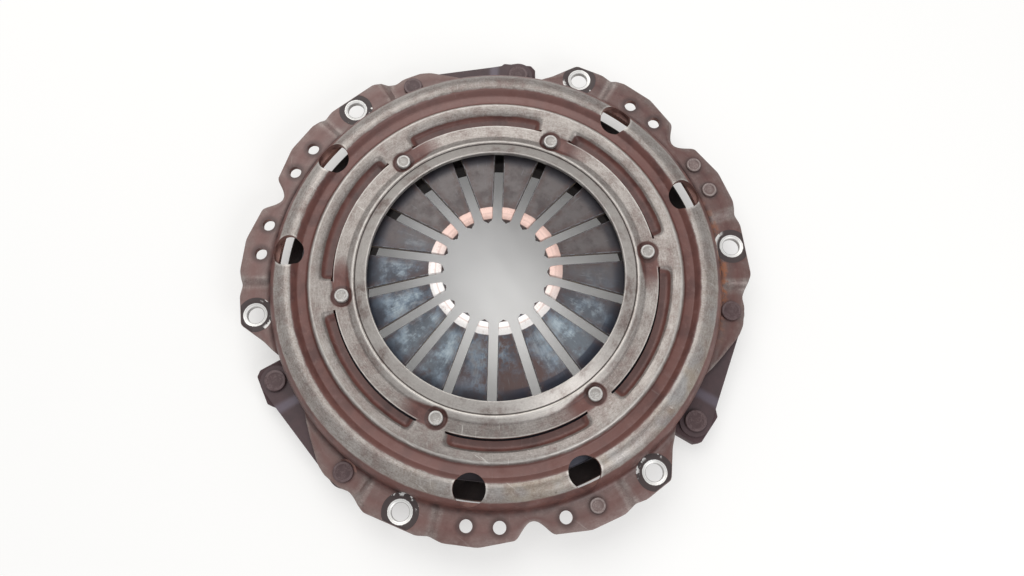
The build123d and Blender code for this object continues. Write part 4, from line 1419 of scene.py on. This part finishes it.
# --- spring
@dataclass
class Diaphragm:
    """The slotted spring: an unbroken cone ring with eighteen fingers that curl at their tips."""

    sizes: Sizes
    pattern: RingPattern
    ease: float = 0.3
    seat_r: float = 95.0
    sharp: float = 40.0
    columns: tuple[float, ...] = (-1.0, -0.72, -0.42, -0.14, 0.14, 0.42, 0.72, 1.0)
    tip_rows: tuple[Point, ...] = ((0.0, 0.55, 1.15), (0.35, 0.7, 0.75), (0.8, 1.1, 0.3), (1.5, 1.7, 0.0))
    finger_rows: tuple[float, ...] = (
        26.8, 27.8, 28.8, 29.8, 30.8, 31.8, 33.0, 37.0, 42.0, 47.0, 52.0, 57.0, 62.0, 66.0,
    )
    neck_rows: tuple[Point, ...] = ((-0.9, -0.5, 0.0), (-0.3, 0.0, 0.35), (0.6, 0.5, 1.2))
    window_rows: tuple[Point, ...] = (
        (4.0, 2.4, 0.0), (5.2, 1.2, 0.25), (6.3, 0.5, 1.0), (7.3, 0.1, 2.0), (8.2, 0.0, 3.3),
    )
    ring_rows: tuple[float, ...] = (80.5, 84.0, 88.0, 92.0)

    def top(self, radius: float) -> float:
        """Height of the upper face, with the curl of the tip."""
        s = self.sizes
        bend_r = s.tip_r + s.tip_bend
        if radius >= bend_r:
            return s.spring_top(radius)
        along = (bend_r - radius) / s.tip_bend
        return s.spring_top(bend_r) + 4 * s.tip_curl * along * (1 - along)

    def stations(self) -> list[Point]:
        """Rows of a finger as (radius on its middle, radius at its side, half width of the slot there)."""
        s = self.sizes
        half, wide = s.slot / 2, s.slot_window / 2
        root = s.rivet_r - s.window_run / 2
        end = root + s.window_run
        rows = [(s.tip_r + a, s.tip_r + b, half + c) for a, b, c in self.tip_rows]
        rows += [(r, r, half) for r in self.finger_rows]
        rows += [(root + a, root + b, half + c) for a, b, c in self.neck_rows]
        rows += [(root + 1.5, root + 1.3, wide - 0.25), (root + 2.6, root + 2.3, wide)]
        rows += [(root + a, end - b, wide - c) for a, b, c in self.window_rows]
        return [*rows, (root + 9.0, end + 0.01, 0.0)]

    def finger(self) -> bpy.types.Object:
        """One finger's sector of the spring, from the tip to the rim."""
        s = self.sizes
        half_turn = math.pi / s.fingers
        loops = []
        for middle_r, side_r, slot_half in self.stations():
            limit = half_turn - math.asin(slot_half / side_r)
            ease = self.ease if slot_half > 0 else 0.0
            inset = limit - ease / side_r
            loop = []
            for steps, level, drop in (
                (self.columns, 0.0, -ease), (self.columns[::-1], -s.spring_rise, ease),
            ):
                radii = [middle_r + (side_r - middle_r) * abs(v) ** 2 for v in steps]
                row = [self.point(r, v * inset, level) for r, v in zip(radii, steps)]
                ends = [self.point(side_r, math.copysign(limit, steps[k]), level + drop) for k in (0, -1)]
                loop += [ends[0], *row, ends[1]]
            loops.append(loop)
        parts = MeshParts()
        parts.loft(np.array(loops), wrap_rows=False)
        parts.faces.append(tuple(range(len(loops[0]))))
        self.ring(parts, loops[-1])
        return outward(parts.build("finger"))

    def point(self, radius: float, turn: float, lift: float) -> Point:
        """Point of the cone at a radius and a turn in radians, lifted from its upper face."""
        return (radius * math.cos(turn), radius * math.sin(turn), self.top(radius) + lift)

    def ring(self, parts: MeshParts, last: list[Point]) -> None:
        """Adds the unbroken ring beyond a finger's root as a strip that is open at both sides."""
        s = self.sizes
        width = len(self.columns)
        turns = [v * math.pi / s.fingers for v in self.columns]
        upper = [(r, 0.0) for r in self.ring_rows]
        upper += [(s.spring_r - 0.9, 0.0), (s.spring_r - 0.3, -0.1), (s.spring_r, -0.45)]
        rail = upper + [(r, -lift - s.spring_rise) for r, lift in reversed(upper)]
        rows = [[self.point(r, t, lift) for t in turns] for r, lift in rail]
        rows = [last[1 : 1 + width], *rows, last[3 + width : 3 + 2 * width][::-1]]
        parts.loft(np.array(rows), wrap_rows=False, wrap_columns=False)

    def build(self) -> bpy.types.Object:
        """Makes the spring and puts it in place of its solid."""
        s = self.sizes
        first = s.first_bolt + TURN / s.fingers / 2
        spring = self.pattern.make("diaphragm", self.finger(), s.fingers, first, SpringFinish(s).build())
        shade(spring, self.sharp)
        LOG.info("diaphragm: %d faces", len(spring.data.polygons))
        fulcrum = (0, 0, self.top(s.fulcrum_r) * MM)
        seat = (0, 0, (self.top(self.seat_r) - s.spring_rise) * MM)
        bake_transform(spring)
        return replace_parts(spring, "diaphragm_spring")


# --- casting
@dataclass
class Casting:
    """The pressure plate: a ring with a notched ridge for the spring and three lugs for the straps."""

    sizes: Sizes
    ridge_out: float = 95.0
    ridge_width: float = 4.5
    ridge_flank: float = 1.5
    notches: int = 12
    notch: float = 7.0
    bevel: float = 1.2
    lug_reach: float = 8.0
    lug_lead: float = 8.7
    lug_nose: float = 2.4
    lug_flat: float = 14.6
    lug_trail: float = 13.2
    lug_flare: float = 1.6
    lug_root: float = 19.0
    lug_ease: float = 0.9
    lug_round: float = 1.4
    lug_sink: float = 4.0

    def section(self) -> np.ndarray:
        """Rounded section of the ring."""
        s = self.sizes
        rim_r = s.plate_r + s.rim_swell
        ridge_in = self.ridge_out - self.ridge_width
        ridge_z = s.spring_top(self.ridge_out) - s.spring_rise - s.seat
        corners = [(s.plate_bore_r, s.face_z), (rim_r, s.face_z), (rim_r, s.rim_back_z)]
        corners += [(self.ridge_out + self.ridge_flank, s.rim_back_z), (self.ridge_out, ridge_z)]
        corners += [(ridge_in, ridge_z), (ridge_in - self.ridge_flank, s.plate_back_z)]
        corners += [(s.plate_bore_r, s.plate_back_z)]
        return rounded_loop(corners, self.bevel, 3)

    def lug_plan(self) -> np.ndarray:
        """Rounded plan of a lug at angle 0."""
        s = self.sizes
        tip = s.lug_rivet_r + self.lug_reach
        root = s.plate_r - self.lug_sink
        flat_end = self.lug_nose + self.lug_flat - self.lug_lead
        corners = [
            (root, -self.lug_lead - 2 * self.lug_flare), (s.plate_r, -self.lug_lead - self.lug_flare),
            (tip - self.lug_nose, -self.lug_lead), (tip, self.lug_nose - self.lug_lead),
            (tip, flat_end), (tip + flat_end - self.lug_trail, self.lug_trail),
            (s.plate_r + self.lug_sink, self.lug_trail + self.lug_flare), (root, self.lug_root),
        ]
        return rounded_loop(corners, self.lug_round, 3)

    def build(self) -> bpy.types.Object:
        """Makes the casting and puts it in place of its solid."""
        s = self.sizes
        finish = CastingFinish(s).build()
        ring = MeshParts()
        ring.lathe(self.section(), np.arange(0, TURN, 1.0))
        casting = outward(ring.build("pressure_plate_casting", finish))
        for strap in range(s.sectors):
            lug = MeshParts()
            plan = spun(self.lug_plan(), s.lug_angle(strap))
            lug.eased_prism(plan, s.lug_top_z - s.lug_thick, s.lug_top_z, self.lug_ease)
            combine(casting, outward(lug.build("lug", finish)), "UNION")
        cuts = MeshParts()
        inner, outer = self.ridge_out - self.ridge_width - 3, self.ridge_out + 3
        across = self.notch / 2
        plan = np.array([(inner, -across), (outer, -across), (outer, across), (inner, across)])
        for k in range(self.notches):
            angle = s.first_bolt + (k + 0.5) * TURN / self.notches
            cuts.prism(spun(plan, angle), s.rim_back_z + FIT, 12.0)
        for strap in range(s.sectors):
            low = s.lug_top_z - s.lug_thick
            sink = low + s.strap_tail_t
            bore, tail = s.strap_shank_r + FIT, s.strap_tail_r + FIT
            outline = [(0, low - 3), (tail, low - 3), (tail, sink), (bore, sink)]
            outline += [(bore, s.lug_top_z + 3), (0, s.lug_top_z + 3)]
            cuts.lathe(np.array(outline), np.arange(0, TURN, 8), polar(s.lug_rivet_r, s.lug_angle(strap)))
        combine(casting, outward(cuts.build("cuts", finish)), "DIFFERENCE")
        shade(casting)
        LOG.info("pressure plate: %d faces", len(casting.data.polygons))
        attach(casting, Body.PLATE.value)
        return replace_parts(casting, "pressure_plate")


# --- rivets and wire
@dataclass(frozen=True)
class Rivet:
    """One rivet's section, turned about its own axis."""

    head_r: float
    head_t: float
    shank_r: float
    top: float
    low: float
    tail_r: float
    tail_t: float
    dish: float
    ease: float = 0.4

    def outline(self) -> np.ndarray:
        """Closed (radius, z) outline with eased rims and a slightly dished head."""
        crown, foot = self.top + self.head_t, self.low - self.tail_t
        corners = [(0, foot), (self.tail_r, foot), (self.tail_r, self.low)]
        corners += [(self.shank_r, self.low), (self.shank_r, self.top), (self.head_r, self.top)]
        corners += [(self.head_r, crown - 0.9 * self.ease), (self.head_r - 0.7 * self.ease, crown)]
        corners += [(0.72 * self.head_r, crown), (0.58 * self.head_r, crown - self.dish)]
        corners += [(0, crown - self.dish)]
        radii = [0, 0.45, 0.3, 0, 0, 0.15, self.ease, self.ease, 0.5, 0.5, 0]
        return rounded_path(corners, radii, 3)

    def part(self, place: Sequence[float]) -> MeshParts:
        """The rivet at a place."""
        parts = MeshParts()
        parts.lathe(self.outline(), np.arange(0, TURN, 7.5), (place[0], place[1], 0.0))
        return parts


@dataclass
class Fastenings:
    """Spring rivets, strap rivets and the fulcrum wire, each a ring of equal pieces."""

    sizes: Sizes
    pattern: RingPattern
    spring_face: Colour = srgb(160, 155, 150)
    spring_rim: Colour = srgb(218, 216, 212)
    strap_face: Colour = srgb(78, 57, 58)
    strap_rim: Colour = srgb(108, 90, 90)
    spring_head_r: float = 3.35
    cover_head_r: float = 4.85
    lug_head_r: float = 5.2
    wire_sharp: float = 60.0
    made: list[bpy.types.Object] = field(default_factory=list)

    def row(self, name: str, rivet: Rivet, finish: RivetFinish, count: int) -> bpy.types.Object:
        """One ring of rivets, on the circle that their finish is made for."""
        piece = outward(rivet.part((finish.radius, 0.0)).build("one_" + name))
        obj = self.pattern.make(name, piece, count, finish.first, finish.build())
        shade(obj)
        LOG.info("%s: %d faces", name, len(obj.data.polygons))
        return obj

    def place(self, obj: bpy.types.Object, body: Body, slot: Slot, nodes: Sequence[str]) -> None:
        """Puts a ring on its body and in place of its solids."""
        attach(obj, body.value)
        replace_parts(obj, *nodes)
        self.made.append(obj)

    def spring_rivets(self) -> None:
        """Six rivets that hold the spring and its wire under the cover."""
        s = self.sizes
        rivet = Rivet(
            head_r=self.spring_head_r,
            head_t=2.3,
            shank_r=s.shank_r,
            top=s.recess_z,
            low=s.wire_z - s.wire_r - FIT,
            tail_r=6.2,
            tail_t=2.6,
            dish=0.16,
        )
        finish = RivetFinish(
            name="spring_rivet_steel",
            face=self.spring_face,
            rim=self.spring_rim,
            first=s.first_bolt,
            pitch=s.bolt_pitch,
            radius=s.rivet_r,
            head_r=self.spring_head_r,
            metal=0.35,
            seed=61.0,
        )
        ring = self.row("spring_rivets", rivet, finish, s.rivets)
        self.place(ring, Body.COVER, Slot.SPRING_RIVET, [f"spring_rivet_{k + 1}" for k in range(s.rivets)])

    def strap_rivets(self) -> None:
        """Rivets at both ends of the three strap packs."""
        s = self.sizes
        pack = s.leaves * s.leaf
        cover_angle = s.first_bolt + s.sector - s.strap_angle
        cover_span = (s.strap_z, s.strap_z - s.sheet - pack)
        lug_span = (s.lug_top_z + pack, s.lug_top_z - s.lug_thick + s.strap_tail_t)
        for end, body, first, radius, head_r, (top, low), seed in (
            ("cover", Body.COVER, cover_angle, s.strap_r, self.cover_head_r, cover_span, 63.0),
            ("lug", Body.PLATE, s.lug_angle(0), s.lug_rivet_r, self.lug_head_r, lug_span, 66.0),
        ):
            finish = RivetFinish(
                name=f"strap_{end}_rivet_steel",
                face=self.strap_face,
                rim=self.strap_rim,
                first=first,
                pitch=s.sector,
                radius=radius,
                head_r=head_r,
                metal=0.15,
                seed=seed,
            )
            rivet = Rivet(
                head_r=head_r,
                head_t=1.7,
                shank_r=s.strap_shank_r,
                top=top,
                low=low,
                tail_r=s.strap_tail_r,
                tail_t=s.strap_tail_t,
                dish=0.05,
            )
            ring = self.row(f"strap_{end}_rivets", rivet, finish, s.sectors)
            nodes = [f"strap_{k + 1}_{end}_rivet" for k in range(s.sectors)]
            self.place(ring, body, Slot.STRAP_RIVET, nodes)

    def wire(self) -> None:
        """The wire ring that the spring rocks on."""
        s = self.sizes
        parts = MeshParts()
        turns = np.linspace(0, math.tau, 20, endpoint=False)
        radii, heights = s.wire_ring_r + s.wire_r * np.cos(turns), s.wire_z + s.wire_r * np.sin(turns)
        parts.lathe(np.stack([radii, heights], -1), np.arange(0, TURN, 2.0))
        ring = shade(outward(parts.build("fulcrum_wire", WireFinish().build())), self.wire_sharp)
        self.place(ring, Body.COVER, Slot.WIRE, ["fulcrum_ring"])

    def build(self) -> list[bpy.types.Object]:
        """Makes them all."""
        self.spring_rivets()
        self.strap_rivets()
        self.wire()
        return self.made


@dataclass
class BalanceWeights:
    """Rivets fitted in three of the flange's balance holes."""

    sizes: Sizes
    places: tuple[tuple[int, int], ...] = ((0, 0), (0, 1), (2, 3))
    head_r: float = 3.6
    face: Colour = srgb(122, 104, 100)
    rim: Colour = srgb(158, 146, 142)

    def build(self) -> list[bpy.types.Object]:
        """Makes the three rivets."""
        s = self.sizes
        made = []
        for n, (sector, hole) in enumerate(self.places):
            angle = s.zone_angles()[sector] + s.balance_angles[hole]
            finish = RivetFinish(
                name=f"balance_rivet_steel_{n + 1}",
                face=self.face,
                rim=self.rim,
                first=angle,
                pitch=TURN,
                radius=s.balance_r,
                head_r=self.head_r,
                metal=0.2,
                seed=81.0 + n,
            )
            rivet = Rivet(
                head_r=self.head_r,
                head_t=1.2,
                shank_r=s.balance_hole_r - FIT,
                top=s.balance_z,
                low=s.balance_z - s.sheet,
                tail_r=self.head_r,
                tail_t=1.0,
                dish=0.45,
            )
            parts = rivet.part(polar(s.balance_r, angle))
            obj = shade(outward(parts.build(f"balance_weight_{n + 1}", finish.build())))
            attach(obj, Body.COVER.value)
            made.append(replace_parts(obj, f"balance_rivet_{n + 1}"))
        LOG.info("balance weights: %d", len(made))
        return made


# --- straps
@dataclass
class Straps:
    """Three packs of spring-steel leaves between the cover's pads and the casting's lugs."""

    sizes: Sizes
    edge: float = 0.1
    bend: float = 5.0
    end_turn: float = 0.06
    end_gap: float = 3.0
    steps: tuple[float, ...] = (-1.0, -0.5, 0.0, 0.5, 1.0)
    layers: tuple[str, ...] = ("top", "middle", "bottom")

    def leaf(self, strap: int, layer: int, finish: bpy.types.Material) -> bpy.types.Object:
        """One leaf, stepped down towards the casting."""
        s = self.sizes
        cover, lug = s.strap_ends(strap)
        run = lug - cover
        length = float(np.hypot(*run))
        ahead = run / length
        aside = np.array([-ahead[1], ahead[0]])
        half = s.strap_width / 2
        high = -s.strap_drop - layer * s.leaf
        low = high - s.strap_fall
        corners = [(-half, high), (s.strap_clamp, high)]
        corners += [(length - s.strap_clamp - half / 2, low), (length + half, low)]
        line = rounded_path(corners, [0, self.bend, self.bend, 0], 6)
        round_end = [-half * math.cos(t) for t in np.linspace(self.end_turn, math.pi / 2, 12)]
        middle = np.linspace(self.end_gap, length - self.end_gap, 34)
        stations = [*round_end, *middle, *(length - x for x in reversed(round_end))]
        loops = []
        for along in stations:
            past = max(-along, along - length, 0.0)
            width = math.sqrt(max(half**2 - past**2, 0.0))
            top = float(np.interp(along, line[:, 0], line[:, 1]))
            rim = min(self.edge, 0.4 * width)
            under = top - s.leaf
            loop = [(v * (width - rim), top) for v in self.steps]
            loop += [(width, top - rim), (width, under + rim)]
            loop += [(v * (width - rim), under) for v in reversed(self.steps)]
            loop += [(-width, under + rim), (-width, top - rim)]
            place = cover + ahead * along
            loops.append([(*(place + aside * y), z) for y, z in loop])
        parts = MeshParts()
        parts.loft(np.array(loops), wrap_rows=False, caps=True)
        name = f"strap_{strap + 1}_{self.layers[layer]}"
        obj = outward(parts.build(name, finish))
        holes = MeshParts()
        for place in (cover, lug):
            holes.post(s.strap_shank_r + FIT, -20.0, 5.0, place, 32)
        combine(obj, outward(holes.build("holes", finish)), "DIFFERENCE")
        shade(obj)
        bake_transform(obj)
        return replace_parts(obj, f"strap_{strap + 1}_leaf_{self.layers[layer]}")

    def build(self) -> list[bpy.types.Object]:
        """Makes the nine leaves."""
        s = self.sizes
        finish = StrapFinish(s).build()
        made = [self.leaf(k, n, finish) for k in range(s.sectors) for n in range(s.leaves)]
        LOG.info("strap leaves: %d", len(made))
        return made


# --- studio
@dataclass
class Studio:
    """Pale floor, soft lamps and the camera."""

    floor_z: float = -17.0
    floor_size: float = 4000.0
    floor_thick: float = 20.0
    camera_place: Point = (8.357, -112.941, 389.584)
    camera_turn: Point = (15.7462, -0.0329, 0.4423)
    lens: float = 29.0986
    floor_colour: Colour = srgb(255, 254, 252)
    floor_lift: float = 0.12
    near_lift: float = 0.38
    sky: Colour = (0.95, 0.97, 1.0)
    sky_power: float = 0.5

    def floor(self) -> None:
        """A wide pale slab under the part."""
        parts = MeshParts()
        half = self.floor_size / 2
        square = np.array([(-half, -half), (half, -half), (half, half), (-half, half)])
        parts.prism(square, self.floor_z - self.floor_thick, self.floor_z - FIT)
        paint = Paint("studio_floor")
        path = paint.node("ShaderNodeLightPath").outputs
        seen = Val(paint, path["Is Camera Ray"]) + path["Is Glossy Ray"] + path["Is Transmission Ray"]
        lit = paint.out("ShaderNodeBsdfDiffuse", Color=self.floor_colour)
        pale = paint.out("ShaderNodeEmission", Color=self.floor_colour, Strength=1.0)
        near = paint.radius.rise(85.0, 120.0) * self.near_lift
        share = near + paint.radius.rise(200.0, 900.0) * (1.0 - self.near_lift) + self.floor_lift
        paint.close(paint.out("ShaderNodeMixShader", i0=seen.clamp() * share.clamp(), i1=lit, i2=pale))
        parts.build("studio_floor", paint.material)

    def lamp(self, name: str, place: Point, size: float, power: float, tone: Colour) -> None:
        """One square soft lamp that looks at the axis."""
        light = bpy.data.lights.new(name, "AREA")
        light.shape = "SQUARE"
        light.size = size * MM
        light.energy = power
        light.color = tone
        obj = put(name, light)
        spot = Vector(place) * MM
        obj.location = spot
        obj.rotation_euler = (-spot).to_track_quat("-Z", "Y").to_euler()

    def world(self) -> None:
        """Even pale surroundings."""
        world = bpy.data.worlds.new("studio")
        world.use_nodes = True
        tree = Tree(world.node_tree)
        even = tree.out("ShaderNodeBackground", Color=self.sky, Strength=self.sky_power)
        pale = tree.out("ShaderNodeBackground", Color=self.floor_colour, Strength=1.0)
        seen = tree.node("ShaderNodeLightPath").outputs["Is Camera Ray"]
        both = tree.out("ShaderNodeMixShader", i0=seen, i1=even, i2=pale)
        tree.node("ShaderNodeOutputWorld", i0=both)
        bpy.context.scene.world = world

    def camera(self) -> None:
        """The camera, with its lens for a frame of 1024 by 576."""
        data = bpy.data.cameras.new("camera")
        data.sensor_width = 36.0
        data.lens = self.lens
        data.clip_start = 0.01
        data.clip_end = 20.0
        obj = put("camera", data)
        obj.location = Vector(self.camera_place) * MM
        obj.rotation_euler = [math.radians(a) for a in self.camera_turn]
        bpy.context.scene.camera = obj

    def build(self) -> None:
        """Sets the stage."""
        self.floor()
        self.world()
        self.lamp("key", (-210, 560, 960), 1000, 7.2, (1.0, 0.99, 0.97))
        self.lamp("fill", (440, -520, 600), 380, 2.2, (0.97, 0.98, 1.0))
        self.camera()
        bpy.context.scene.view_settings.view_transform = "Standard"


def main() -> None:
    """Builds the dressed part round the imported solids."""
    logging.basicConfig(level=logging.INFO, format="%(name)s %(message)s")
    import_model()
    Studio().build()
    sizes = Sizes()
    pattern = RingPattern("ring_pattern")
    Cover(sizes).build()
    Diaphragm(sizes, pattern).build()
    Casting(sizes).build()
    Fastenings(sizes, pattern).build()
    BalanceWeights(sizes).build()
    Straps(sizes).build()


if __name__ == "__main__":
    main()
